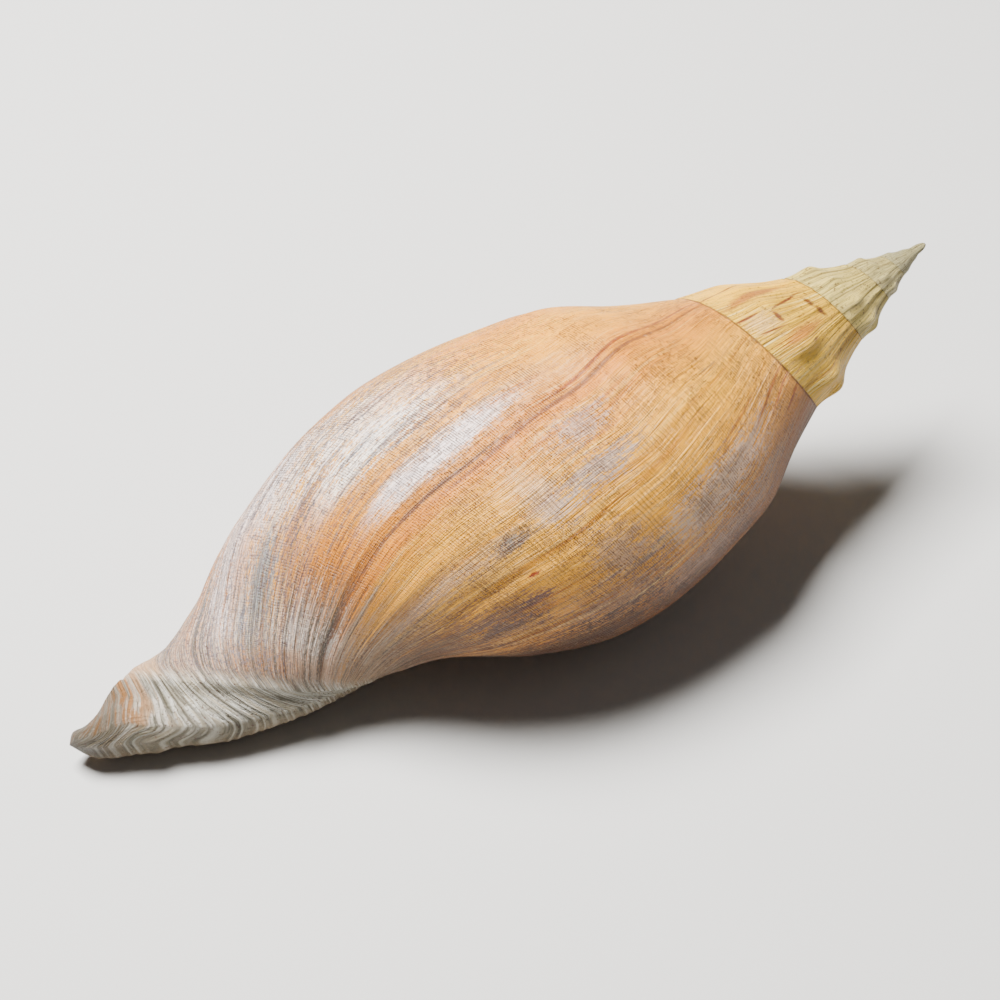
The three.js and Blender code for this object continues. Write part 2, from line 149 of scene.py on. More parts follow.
@dataclass(frozen=True)
class ShellForm:
    """The growth law of the shell: one section that grows by the same factor with every half turn.

    Sections are pairs of distance from the apex and radius, both as shares of the distance from the apex
    to the suture. Angles count back from the edge of the lip: 0 is the newest shell. Lengths are in
    millimetres and angles in degrees, unless they are said to be shares.

    Attributes:
        length: Distance from the apex to the end of the canal.
        apex_rise: How far the point is drawn out beyond the growth law.
        apex_rise_reach: Distance from the apex where that ends.
        suture_from_apex: Distance from the apex to the suture at angle 0.
        half_whorl_growth: Growth factor of half a turn.
        lip_azimuth: Azimuth of angle 0.
        spire_whorls: Whorls above the last one.
        suture_radius: Radius at the suture, as a share.
        ridge: Distance share of the ridge where the canal starts.
        body_section: Section of the last whorl.
        spire_section: Section of the spire's whorls, from suture to suture.
        spire_form: Angles over which the section changes from the one to the other.
        body_form_again: Distance share below which an older whorl has the last whorl's section again.
        growth_line_lag: How far the growth line lies behind its most forward point, by distance share.
        waist_depth: How far the middle of the young lip stands back.
        waist_centre: Distance share of that waist.
        waist_half_length: Half its length as a share.
        waist_reach: Age of the growth line where it is gone.
        nodules_per_whorl: Number of knobs on a whorl.
        nodule_height: Their height as a share.
        nodule_centre: Their distance share.
        nodule_phase: Angle of one of them.
        nodule_sharpness: Power that narrows them along the whorl.
        nodule_reach: How far they reach up and down, as shares.
        nodule_start: Angles over which they rise from the last whorl's smooth shoulder.
        nodule_wear: Angles over which they get lower.
        nodule_wear_share: How much lower, as a share.
        nodule_end: Angles over which they end at the first whorl.
        spout_radius: Radius of the canal by distance from the apex.
        axis_bend: How far the axis is bent aside by distance from the apex.
        ridge_fall: Distance over which the step below the ridge dies out.
        crest_height: Height of the crest along the ridge.
        crest_width: Its width.
        closing_power: Power by which the canal closes at its tip.
        wall: Thickness of the wall as a share.
        edge_thinning: How much thinner the lip's edge is, as a share.
        edge_reach: Angle over which it is thinner.
        glaze: Thickness of the glaze on the older whorl, as a share.
        mouth_clearance: Gap between the mouth's surface and the hollow at the lip, as a share.
        hollow_end: Distance from the apex where the hollow ends at the lip.
        deep_hollow_end: Distance share where it ends far inside.
        deep_hollow_age: Angle by which it has changed from the one to the other.
        hollow_taper_from: Share of the hollow's rows from which it narrows to its end.
        narrowest_hollow: Width of the hollow at its end, as a share.
        pillar_share: Radius of the pillar against the outside it continues.
        pillar_zone: Distance shares over which the older whorl changes to the pillar, by the older ridge.
        pillar_full_angle: Angle where the pillar has that radius.
        canal: Distances from the apex over which the canal's floor starts.
        canal_wall_turn: Angle over which it falls from the inner lip.
        canal_share: Radius of the floor against the outside it continues.
        fold_centres: Distance shares of the pillar's folds.
        fold_height: Their height as a share.
        fold_width: Their width as a share.
        fold_angles: Angles over which they rise.
        lip_rounds: Rounds that find the lip's edge at a row of the wall.
    """

    length: float = 377.4
    apex_rise: float = 3.7
    apex_rise_reach: float = 60.0
    suture_from_apex: float = 100.0
    half_whorl_growth: float = 1.3247
    lip_azimuth: float = -141.5
    spire_whorls: int = 5
    suture_radius: float = 0.405
    ridge: float = 3.81
    body_section: Curve = Curve(
        ((1, 0.405), (1.23, 0.529), (1.51, 0.698), (1.8, 0.773), (2.08, 0.825), (2.4, 0.844), (2.71, 0.792),
         (3.02, 0.64), (3.36, 0.373), (3.81, 0.221))
    )
    spire_section: Curve = Curve(
        ((1, 0.405), (1.13, 0.459), (1.3, 0.55), (1.44, 0.622), (1.52, 0.645), (1.64, 0.676),
         (1.3247**2, 0.405 * 1.3247**2))
    )
    spire_form: Span = (190.0, 312.0)
    body_form_again: float = 2.7
    growth_line_lag: Curve = Curve(
        ((1, -42), (1.23, -22), (1.51, -12), (1.8, -2.4), (2.08, 0), (2.4, 3), (2.71, 1.5), (3.02, 2.5),
         (3.36, 12), (3.81, 58))
    )
    waist_depth: float = 6.0
    waist_centre: float = 2.05
    waist_half_length: float = 0.9
    waist_reach: float = 20.0
    nodules_per_whorl: int = 9
    nodule_height: float = 0.072
    nodule_centre: float = 1.43
    nodule_phase: float = 591.0
    nodule_sharpness: float = 2.2
    nodule_reach: Span = (0.1, 0.2)
    nodule_start: Span = (385.0, 560.0)
    nodule_wear: Span = (1100.0, 1500.0)
    nodule_wear_share: float = 0.55
    nodule_end: Span = (1500.0, 1750.0)
    spout_radius: Curve = Curve(
        ((215, 18), (285, 16.1), (330, 13.3), (346, 11.9), (354, 12.7), (361, 10), (369, 7.4), (374, 5.2),
         (377.4, 0))
    )
    axis_bend: Curve = Curve(
        ((0, 2.4), (30, 2.4), (58, 1.9), (90, 0.5), (115, 0.5), (145, 0), (175, -0.9), (205, -0.8), (235, 0.4),
         (260, 0.4), (284, -1.9), (299, -3.6), (315, -7.1), (330, -11.1), (346, -18.6), (354, -22.5),
         (369, -25.8), (377.4, -30.6))
    )
    ridge_fall: float = 6.2
    crest_height: float = 1.3
    crest_width: float = 3.4
    closing_power: int = 8
    wall: float = 0.034
    edge_thinning: float = 0.012
    edge_reach: float = 5.0
    glaze: float = 0.01
    mouth_clearance: float = 0.0012
    hollow_end: float = 360.0
    deep_hollow_end: float = 2.95
    deep_hollow_age: float = 110.0
    hollow_taper_from: float = 0.9
    narrowest_hollow: float = 0.004
    pillar_share: float = 0.72
    pillar_zone: Span = (0.86, 1.1)
    pillar_full_angle: float = 25.0
    canal: Span = (282.0, 325.0)
    canal_wall_turn: float = 32.0
    canal_share: float = 0.3
    fold_centres: tuple[float, ...] = (2.4, 2.66, 2.92)
    fold_height: float = 0.034
    fold_width: float = 0.085
    fold_angles: Span = (-36.0, -8.0)
    lip_rounds: int = 12

    @property
    def whorl_growth(self) -> float:
        """Growth factor of one whorl."""
        return self.half_whorl_growth**2

    @property
    def last_age(self) -> float:
        """Age of the growth line where the last whorl meets the whorl before it."""
        return 360.0 + float(self.growth_line_lag(1.0))

    @property
    def inner_lip(self) -> float:
        """Angle of the inner lip."""
        return self.last_age - 360.0

    @property
    def inner_ridge(self) -> float:
        """Distance share of the older whorl's ridge."""
        return self.ridge / self.whorl_growth

    def suture(self, angle: Array) -> Array:
        """Return the distance from the apex to the suture at an angle."""
        return self.suture_from_apex * self.half_whorl_growth ** (-np.asarray(angle, float) / 180)

    def nodule(self, angle: Array, along: Array) -> Array:
        """Return how far the shoulder stands out in a knob, as a share of the suture's distance.

        Args:
            angle: Degrees behind the lip.
            along: Distance from the apex as a share of the suture's.

        Returns:
            Heights as shares.
        """
        strength = (
            smoothstep(angle, *self.nodule_start)
            * (1 - self.nodule_wear_share * smoothstep(angle, *self.nodule_wear))
            * (1 - smoothstep(angle, *self.nodule_end))
        )
        turn = np.radians((angle - self.nodule_phase) * self.nodules_per_whorl)
        around = (0.5 + 0.5 * np.cos(turn)) ** self.nodule_sharpness
        reach = np.where(along < self.nodule_centre, *self.nodule_reach)
        return self.nodule_height * strength * around * np.exp(-(((along - self.nodule_centre) / reach) ** 2))

    def outer_radius(self, angle: Array, along: Array) -> Array:
        """Return the radius of a whorl's outside as a share of the suture's distance.

        Args:
            angle: Degrees behind the lip.
            along: Distance from the apex as a share of the suture's.

        Returns:
            Radii as shares.
        """
        spire = smoothstep(angle, *self.spire_form)
        body = self.body_section(along)
        above = mix(body, self.spire_section(along), spire) + self.nodule(angle, along)
        step = self.suture_radius * self.whorl_growth - float(self.body_section(self.whorl_growth))
        below = body + spire * step * (1 - smoothstep(along, self.whorl_growth, self.body_form_again))
        return np.where(along <= self.whorl_growth + 1e-9, above, below)

    def outside(self, angle: Array, z: Array) -> Array:
        """Return the radius of the outside: the whorl down to its ridge, and the spout below it.

        Args:
            angle: Degrees behind the lip.
            z: Distance from the apex in millimetres.

        Returns:
            Radii in millimetres.
        """
        suture = self.suture(angle)
        ridge = suture * self.ridge
        crest = self.crest_height * np.exp(-(((z - ridge) / self.crest_width) ** 2))
        whorl = suture * self.outer_radius(angle, z / suture) + crest
        step = suture * self.outer_radius(angle, np.full_like(suture, self.ridge)) - self.spout_radius(ridge)
        share = np.clip(z - ridge, 0, None) / (self.length - ridge)
        closing = np.sqrt(np.clip(1 - share**self.closing_power, 0, None))
        spout = self.spout_radius(z) + (step * np.exp(np.minimum(ridge - z, 0) / self.ridge_fall) + crest) * closing
        return np.where(z <= ridge, whorl, spout)

    def on_line(self, age: Array, along: Array) -> Array:
        """Return the angle of a growth line, which is shaped as the lip is when it is young.

        Args:
            age: Age of the growth line in degrees.
            along: Distance from the apex as a share of the suture's.

        Returns:
            Degrees behind the lip.
        """
        centred = np.minimum(1, np.abs(along - self.waist_centre) / self.waist_half_length)
        waist = self.waist_depth * (1 - centred**2) ** 2 * np.clip(1 - age / self.waist_reach, 0, None)
        return age + waist + self.growth_line_lag(along) * (1 - np.minimum(1, age / self.last_age))

    def fold(self, angle: Array, along: Array) -> Array:
        """Return the height of the pillar's folds as a share of the suture's distance."""
        height = self.fold_height * smoothstep(angle, *self.fold_angles)
        return height * sum(np.exp(-(((along - c) / self.fold_width) ** 2)) for c in self.fold_centres)

    def inside(self, angle: Array, z: Array) -> Array:
        """Return the radius of the hollow's inner wall: the older whorl, the pillar and the canal's floor.

        Args:
            angle: Degrees behind the lip.
            z: Distance from the apex in millimetres.

        Returns:
            Radii in millimetres.
        """
        suture = self.suture(angle)
        along = z / suture
        on_pillar = smoothstep(along, *(share * self.inner_ridge for share in self.pillar_zone))
        within = smoothstep(angle, self.inner_lip, self.pillar_full_angle)
        slimmer = mix(1.0, self.pillar_share, on_pillar * within)
        wall = smoothstep(angle, self.inner_lip, self.inner_lip + self.canal_wall_turn)
        in_canal = smoothstep(z, *self.canal) * wall
        share = mix(slimmer, self.canal_share, in_canal)
        raised = suture * (self.glaze + self.fold(angle, along)) * (1 - in_canal)
        return self.outside(angle + 360, z) * share + raised

    def inner_row(self, angle: Array, row: Array, end: Array) -> Array:
        """Return the distance from the apex at a row of the hollow's inner wall.

        Args:
            angle: Degrees behind the lip.
            row: 0 at the suture, 1 at the older whorl's ridge, 2 at the end.
            end: Distance from the apex at the end.

        Returns:
            Distances in millimetres.
        """
        suture = self.suture(angle)
        first = suture * mix(1.0, self.inner_ridge, np.minimum(row, 1))
        return np.where(row <= 1, first, mix(suture * self.inner_ridge, end, np.clip(row - 1, 0, 1)))

    def lip_angle(self, row: Array) -> Array:
        """Return the angle of the outer lip's edge at a row of the inner wall.

        Args:
            row: 0 at the suture, 1 at the older whorl's ridge, 2 at the end.

        Returns:
            Degrees behind the lip's most forward point.
        """
        angle = np.full_like(row, float(self.growth_line_lag(1.0)))
        for _ in range(self.lip_rounds):
            angle = self.on_line(0.0, self.inner_row(angle, row, self.hollow_end) / self.suture(angle))
        return angle

    def place(self, angle: Array, z: Array, radius: Array) -> Array:
        """Return points in the upright frame.

        Args:
            angle: Degrees behind the lip.
            z: Distance from the apex in millimetres.
            radius: Distance from the bent axis in millimetres.

        Returns:
            An array of points, with x, y and z last.
        """
        azimuth = np.radians(self.lip_azimuth + angle)
        rise = self.apex_rise * np.clip(1 - z / self.apex_rise_reach, 0, None) ** 2
        along = np.broadcast_to(z - rise, np.shape(radius))
        return np.stack([radius * np.sin(azimuth) + self.axis_bend(z), radius * np.cos(azimuth), along], axis=-1)


@dataclass(frozen=True)
class GrowthMarks:
    """Low relief that growth leaves on the outside, and the lines that the canal's scales follow.

    Attributes:
        form: The shell that the marks are on.
        wrinkles: Growth wrinkles: length in degrees, height in millimetres and phase.
        growth_halts: Grooves where growth stopped: growth line, depth in millimetres and width in degrees.
        rib_pitch: Distance between the ribs of the older whorls in degrees.
        rib_height: Height of those ribs in millimetres.
        rib_start: Angles over which those ribs start.
        rib_end: Angles over which they end.
        spire_wrinkles: How much higher the wrinkles of the spire are, as a share.
        spire_start: Angles over which they get higher.
        halt_start: Distance shares over which the grooves start below the suture.
        full_size: Distances from the apex to the suture from which wrinkles and ribs have their full height.
        marked_from: Distances from the apex to the suture over which the relief starts at the apex.
        scale_height: Height of the canal's scales in millimetres.
        scale_steepness: Power that makes a scale rise late.
        scale_edge: Shares of a scale over which it falls at its edge.
        scale_middle: Middle height of the scales, which is taken off.
        scale_wear: How much lower the oldest scales are, as a share.
        scale_wear_ages: Growth lines over which they get lower.
        canal_start: Distance shares over which wrinkles change to scales.
        canal_end: Angle where the canal's outside ends.
        lip_calm: Height share of the relief at the lip's edge, and the growth line where it is full.
        tip_calm: Distance from the tip over which the relief dies out.
        unevenness: Mean height share of the wrinkles, how far it varies, and how fast along and across.
        least_turn: Least angle over which a scale line runs down to the smooth ridge.
        rounding_start: Distance shares over which the rounding of the ridge starts.
        rounding_end: Distances from the tip over which it starts.
        search: Distances from the apex between which a scale line is looked for.
        search_rounds: Rounds that find it.
        smooth_ridge: Azimuth of the canal's smooth ridge in degrees, by distance from the apex.
        line_slant: How far a scale line runs down from the ridge to the smooth ridge, in millimetres.
        lobe_depth: How far it runs on down in the lobes beyond the smooth ridge, in millimetres.
        lobe_width: Width of those lobes in degrees.
        set_in: How far the whole outside stands in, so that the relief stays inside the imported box.
        ridge_rounding: Half the width over which the ridge is rounded in millimetres, by angle.
        worn_lines: Strength of the wrinkles by distance from the apex as a share of the suture's.
        lag_at_ridge: Degrees by which the growth lines bend back toward the ridge, by that same share.
    """

    form: ShellForm
    wrinkles: tuple[Triple, ...] = (
        (23.0, 0.15, 0.4), (12.3, 0.13, 2.1), (7.9, 0.11, 1.2), (5.7, 0.07, 4.0),
    )
    growth_halts: tuple[Triple, ...] = (
        (116.5, 0.4, 2.6), (91.5, 0.18, 2.2), (64.0, 0.3, 2.6), (141.0, 0.18, 2.0), (168.0, 0.24, 2.4),
    )
    rib_pitch: float = 20.0
    rib_height: float = 0.34
    rib_start: Span = (600.0, 680.0)
    rib_end: Span = (1250.0, 1500.0)
    spire_wrinkles: float = 0.9
    spire_start: Span = (330.0, 420.0)
    halt_start: Span = (1.05, 1.4)
    full_size: Span = (60.0, 35.0)
    marked_from: Span = (6.0, 20.0)
    scale_height: float = 0.34
    scale_steepness: float = 1.6
    scale_edge: Span = (0.86, 1.0)
    scale_middle: float = 0.55
    scale_wear: float = 0.8
    scale_wear_ages: Span = (190.0, 280.0)
    canal_start: Span = (3.62, 3.9)
    canal_end: float = 340.0
    lip_calm: Span = (0.15, 9.0)
    tip_calm: float = 7.0
    unevenness: tuple[float, ...] = (0.8, 0.3, 4.1, 0.02)
    least_turn: float = 5.0
    rounding_start: Span = (3.5, 3.7)
    rounding_end: Span = (6.0, 30.0)
    search: Span = (150.0, 400.0)
    search_rounds: int = 26
    smooth_ridge: Curve = Curve(
        ((285, 62), (297, 50), (318, 33), (327, 25), (335, 14), (341, 8), (348, 0), (355, -14), (360, -20),
         (370, -34))
    )
    line_slant: Curve = Curve(
        ((285, -13), (300, -12), (322, -7.5), (331, -4.5), (338, 2.5), (345, 6.5), (350, 7), (356, 8))
    )
    lobe_depth: Curve = Curve(((300, 0), (315, 2), (325, 4), (335, 6.5), (345, 9.5), (354, 12)))
    lobe_width: float = 52.0
    set_in: float = 0.27
    ridge_rounding: Curve = Curve(((0, 4.2), (70, 3.6), (120, 1.5), (160, 0.6)))
    worn_lines: Curve = Curve(((1.0, 0.7), (2.6, 1.0), (3.1, 1.9), (3.4, 2.6), (3.7, 2.2)))
    lag_at_ridge: Curve = Curve(((2.9, 0), (3.2, 2.5), (3.4, 7), (3.6, 14), (3.72, 21), (3.81, 32)))

    def scale_line(self, angle: Array, z: Array) -> Array:
        """Return which scale of the canal a place lies on, by its distance from the apex at the ridge.

        Args:
            angle: Degrees behind the lip.
            z: Distance from the apex in millimetres.

        Returns:
            Distances in millimetres.
        """
        form = self.form
        azimuth = form.lip_azimuth + angle
        growth = math.log(form.half_whorl_growth) / 180
        first = -np.log(z / (form.suture_from_apex * form.ridge)) / growth
        lip = float(form.growth_line_lag(form.ridge))
        start = form.lip_azimuth + np.maximum(first, lip)
        turn = self.smooth_ridge(z)
        across = np.clip((azimuth - start) / np.maximum(turn - start, self.least_turn), 0, 1)
        band = smoothstep((azimuth - turn) / self.lobe_width, 0, 1)
        level = z - self.lobe_depth(z) * band
        low, high = (np.full_like(z, end) for end in self.search)
        for _ in range(self.search_rounds):
            middle = (low + high) / 2
            beyond = middle + self.line_slant(middle) * across > level
            low, high = np.where(beyond, low, middle), np.where(beyond, middle, high)
        return (low + high) / 2

    def rounded(self, angle: Array, z: Array) -> Array:
        """Return the outside's radius with the ridge rounded over, most of all near the lip.

        Args:
            angle: Degrees behind the lip.
            z: Distance from the apex in millimetres.

        Returns:
            Radii in millimetres.
        """
        form = self.form
        width = self.ridge_rounding(angle) * smoothstep(z / form.suture(angle), *self.rounding_start)
        width = width * smoothstep(z, *(form.length - end for end in self.rounding_end))
        return (form.outside(angle, z - width) + 2 * form.outside(angle, z) + form.outside(angle, z + width)) / 4

    def past_smooth_ridge(self, angle: Array, z: Array) -> Array:
        """Return how far beyond the smooth ridge a place lies, as a share of a lobe's width.

        Args:
            angle: Degrees behind the lip.
            z: Distance from the apex in millimetres.

        Returns:
            Shares, below 0 before the smooth ridge.
        """
        return (self.form.lip_azimuth + angle - self.smooth_ridge(z)) / self.lobe_width

    def height(self, line: Array, angle: Array, z: Array, scale: Array) -> Array:
        """Return the height of the relief.

        Args:
            line: Age of the growth line in degrees.
            angle: Degrees behind the lip.
            z: Distance from the apex in millimetres.
            scale: The canal's scale line.

        Returns:
            Heights in millimetres.
        """
        form = self.form
        suture = form.suture(angle)
        along = z / suture
        full_wrinkles, full_ribs = self.full_size
        size = np.minimum(1, suture / full_wrinkles)
        mean, swing, rate_along, rate_across = self.unevenness
        uneven = mean + swing * np.sin(along * rate_along + line * rate_across)
        wave = ripple(line, self.wrinkles) * size * uneven
        halts = sum(-deep * np.exp(-(((line - at) / wide) ** 2)) for at, deep, wide in self.growth_halts)
        spire = 1 + self.spire_wrinkles * smoothstep(angle, *self.spire_start)
        wave = (wave + halts * smoothstep(along, *self.halt_start)) * self.worn_lines(along) * spire
        older = smoothstep(angle, *self.rib_start) * (1 - smoothstep(angle, *self.rib_end))
        older = older * np.minimum(1, suture / full_ribs)
        wave = wave + self.rib_height * older * np.sin(2 * math.pi * line / self.rib_pitch)
        turn = scale / SCALE_PITCH + SCALE_SWAY * np.sin(scale * SCALE_SWAY_RATE)
        steep = (turn % 1.0) ** self.scale_steepness
        falling = 1 - smoothstep(turn % 1.0, *self.scale_edge)
        worn = 1 - self.scale_wear * smoothstep(line, *self.scale_wear_ages)
        scales = self.scale_height * worn * (steep * falling * 2 - self.scale_middle)
        canal = smoothstep(along, *self.canal_start) * (angle < self.canal_end)
        near_tip = 1 - smoothstep(z, form.length - self.tip_calm, form.length)
        at_lip, full_age = self.lip_calm
        near_lip = at_lip + (1 - at_lip) * smoothstep(line, 0, full_age)
        relief = mix(wave, scales, canal) * near_lip - self.set_in
        return relief * near_tip * smoothstep(suture, *self.marked_from)


class Part(Enum):
    """What a patch of the surface belongs to, as the number kept on its points."""

    OUTSIDE = 0.0
    MOUTH = 1.0
    HOLLOW = 2.0


class Surface:
    """Points with their growth coordinates, and the faces between them."""

    def __init__(self) -> None:
        """Start with no points."""
        self.points: list[Array] = []
        self.growth: list[Array] = []
        self.zone: list[Array] = []
        self.faces: list[tuple[int, ...]] = []
        self.count = 0

    def grid(self, points: Array, growth: Array, zone: Array) -> Array:
        """Add a grid of points.

        Args:
            points: Places, with x, y and z last.
            growth: Growth line, share along the section and scale line of each point.
            zone: Canal, spire and part of each point.

        Returns:
            The points' numbers, in the grid's shape.
        """
        shape = points.shape[:-1]
        size = int(np.prod(shape))
        self.points.append(points.reshape(size, 3))
        self.growth.append(np.broadcast_to(growth, points.shape).reshape(size, 3))
        self.zone.append(np.broadcast_to(zone, points.shape).reshape(size, 3))
        numbers = np.arange(self.count, self.count + size).reshape(shape)
        self.count += size
        return numbers

    def triangle(self, a: int, b: int, c: int) -> None:
        """Add a face, unless two of its corners are one point."""
        if a != b and b != c and c != a:
            self.faces.append((a, b, c))

    def skin(self, columns: Array, falling: bool = False) -> None:
        """Add the faces between neighbouring columns of a grid.

        Args:
            columns: Numbers of the points, by column and row.
            falling: Whether each square is split along its other diagonal.
        """
        for first, second in zip(columns[:-1].tolist(), columns[1:].tolist()):
            for a, b, c, d in zip(first[:-1], first[1:], second[1:], second[:-1]):
                self.triangle(a, b, d if falling else c)
                self.triangle(*((b, c, d) if falling else (a, c, d)))

    def zip(self, outer: list[int], inner: list[int]) -> None:
        """Fill the strip between two rows of points whose heights rise together.

        Args:
            outer: Numbers of the first row's points.
            inner: Numbers of the second row's points.
        """
        heights = np.concatenate(self.points)[:, 2]
        i = j = 0
        while i < len(outer) - 1 or j < len(inner) - 1:
            next_outer = heights[outer[i + 1]] if i < len(outer) - 1 else math.inf
            next_inner = heights[inner[j + 1]] if j < len(inner) - 1 else math.inf
            if next_outer <= next_inner:
                self.triangle(outer[i], inner[j], outer[i + 1])
                i += 1
            else:
                self.triangle(outer[i], inner[j], inner[j + 1])
                j += 1

    def mesh_object(self, name: str) -> bpy.types.Object:
        """Return the surface as a closed mesh object, still upright and in millimetres.

        Args:
            name: The object's name.

        Returns:
            The object, linked to the scene.
        """
        used, faces = np.unique(np.array(self.faces), return_inverse=True)
        points = np.concatenate(self.points)[used]
        mesh = bpy.data.meshes.new(name)
        mesh.from_pydata(points.tolist(), [], faces.reshape(-1, 3).tolist())
        return linked(name, mesh)


@dataclass
class ShellBuilder:
    """Makes the fine mesh of the whole shell: the outside, the mouth and the hollow behind it.

    Attributes:
        form: The growth law.
        marks: The low relief of the outside.
        columns: Columns of points to a whorl.
        rows_to_suture: Rows from one suture to the next.
        rows_to_ridge: Rows from there to the ridge.
        rows_of_spout: Rows from the ridge to the end of the hollow.
        rows_of_tip: Rows from there to the tip.
        mouth_columns: Columns from the inner lip to the outer lip's plane.
        first_hollow_row: First row of the hollow below the suture.
        outer_wall_rows: Rows of the hollow's outer wall.
        hollow_overrun: How far the hollow stands out of the mouth, as a share of the mouth's width.
        hollow_ages: Start and end in degrees and number of columns of each stretch of the hollow.
        apex_rings: Rings that close the first whorl.
        tuck: How far an older whorl ends short of the newer one's suture, as a share.
        edge_start: Distance shares over which the lip's thin edge starts below the suture.
        narrowest_mouth: Radius of the mouth's surface at its narrowest in millimetres.
        canal_zone: Distance shares over which the canal's colours start.
        lobe_zone: Shares of a lobe's width over which the colours beyond the smooth ridge start.
        spire_zone: Angles over which the spire's colours start.
    """

    form: ShellForm
    marks: GrowthMarks
    columns: int = 224
    rows_to_suture: int = 22
    rows_to_ridge: int = 80
    rows_of_spout: int = 90
    rows_of_tip: int = 24
    mouth_columns: int = 24
    first_hollow_row: int = 10
    outer_wall_rows: int = 56
    hollow_overrun: float = 0.1
    hollow_ages: tuple[tuple[float, float, int], ...] = ((0, 5, 2), (5, 150, 34), (150, 530, 16))
    apex_rings: int = 6
    tuck: float = 0.006
    edge_start: Span = (1.0, 1.2)
    narrowest_mouth: float = 0.5
    canal_zone: Span = (3.66, 3.84)
    lobe_zone: Span = (-0.1, 0.5)
    spire_zone: Span = (285.0, 425.0)

    def inner_rows(self) -> Array:
        """Return the rows of the hollow's inner wall: 0 at the suture, 1 at the older ridge, 2 at the end."""
        to_ridge = np.linspace(0, 1, self.rows_to_ridge + 1)
        return np.concatenate([to_ridge, np.linspace(1, 2, self.rows_of_spout + 1)[1:]])

    def tip_turns(self) -> Array:
        """Return the turns by which the tip's rows close up."""
        return np.linspace(0, math.pi / 2, self.rows_of_tip + 1)[1:]

    def dressed(self, line: Array, angle: Array, z: Array, inset: Array) -> tuple:
        """Return points of the outside with their relief, and what is kept on them.

        Args:
            line: Age of the growth line in degrees.
            angle: Degrees behind the lip.
            z: Distance from the apex in millimetres.
            inset: How far the points stand in, in millimetres.

        Returns:
            Points, growth coordinates and zones.
        """
        line, angle, z, inset = np.broadcast_arrays(line, angle, z, inset)
        along = z / self.form.suture(angle)
        off_apex = np.maximum(z, 1.0)
        scale = self.marks.scale_line(angle, off_apex)
        line = line - self.marks.lag_at_ridge(along)
        height = self.marks.height(line, angle, off_apex, scale)
        points = self.form.place(angle, z, np.maximum(self.marks.rounded(angle, z) - inset + height, 0))
        growth = np.stack([line, along, scale], axis=-1)
        beyond = smoothstep(self.marks.past_smooth_ridge(angle, z), *self.lobe_zone)
        canal = smoothstep(along, *self.canal_zone) * (1 + beyond)
        spire = smoothstep(angle, *self.spire_zone)
        zone = np.stack([canal, spire, np.full_like(line, Part.OUTSIDE.value)], axis=-1)
        return points, growth, zone

    def undressed(self, surface: Surface, angle: Array, z: Array, radius: Array, part: Part) -> Array:
        """Add a grid of plain points of the mouth or the hollow.

        Args:
            surface: Where the points go.
            angle: Degrees behind the lip.
            z: Distance from the apex in millimetres.
            radius: Distance from the bent axis in millimetres.
            part: What the points belong to.

        Returns:
            Their numbers, by column and row.
        """
        growth = np.stack([angle, z / self.form.suture(angle), z], axis=-1)
        zone = np.stack([0 * z, 0 * z, 0 * z + part.value], axis=-1)
        return surface.grid(self.form.place(angle, z, radius), growth, zone)

    def body(self, surface: Surface) -> Array:
        """Add the last whorl, one column for each growth line.

        Args:
            surface: Where the points go.

        Returns:
            Numbers of the points, by column and row.
        """
        form = self.form
        age = np.linspace(0, form.last_age, self.columns + 1)[:, None]
        along = np.concatenate([
            np.linspace(1, form.whorl_growth, self.rows_to_suture + 1),
            np.linspace(form.whorl_growth, form.ridge, self.rows_to_ridge + 1)[1:],
        ])[None, :]
        angle = form.on_line(age, along)
        suture = form.suture(angle)
        edge = form.edge_thinning * np.clip(1 - age / form.edge_reach, 0, None) ** 2
        whorl = self.dressed(age, angle, suture * along, suture * edge * smoothstep(along, *self.edge_start))
        turned = form.on_line(age, np.array([[form.ridge]]))
        ridge = form.suture(turned) * form.ridge
        down = np.linspace(0, 1, self.rows_of_spout + 1)[None, 1:]
        spout_z = mix(ridge, form.hollow_end, down)
        tip_z = mix(form.hollow_end, form.length, np.sin(self.tip_turns()))[None, :] + 0 * age
        z = np.concatenate([spout_z, tip_z], axis=1)
        spout = self.dressed(age, turned, z, np.zeros_like(z))
        both = [np.concatenate([a, b], axis=1) for a, b in zip(whorl, spout)]
        numbers = surface.grid(*both)
        numbers[0, 0] = numbers[-1, self.rows_to_suture]
        numbers[:, -1] = numbers[0, -1]
        surface.skin(numbers)
        return numbers

    def spire(self, surface: Surface, newer: Array, turn: int) -> Array:
        """Add one older whorl between the rows of the newer one and its own suture.

        Args:
            surface: Where the points go.
            newer: Numbers of the newer whorl's points.
            turn: How many whorls older it is.

        Returns:
            Numbers of its points, by column and row.
        """
        form = self.form
        rows = self.rows_to_suture
        age = np.linspace(0, form.last_age, self.columns + 1)[1:, None]
        along = np.append(np.linspace(1, form.whorl_growth, rows)[:-1], form.whorl_growth - self.tuck)[None, :]
        angle = form.on_line(age, np.ones((1, 1))) + 360 * turn + 0 * along
        own = surface.grid(*self.dressed(angle, angle, form.suture(angle) * along, 0 * angle))
        numbers = np.empty((self.columns + 1, rows + 1), int)
        numbers[0] = newer[-1, : rows + 1]
        numbers[1:, :-1] = own
        numbers[1:, -1] = newer[1:, 0]
        surface.skin(numbers)
        return numbers

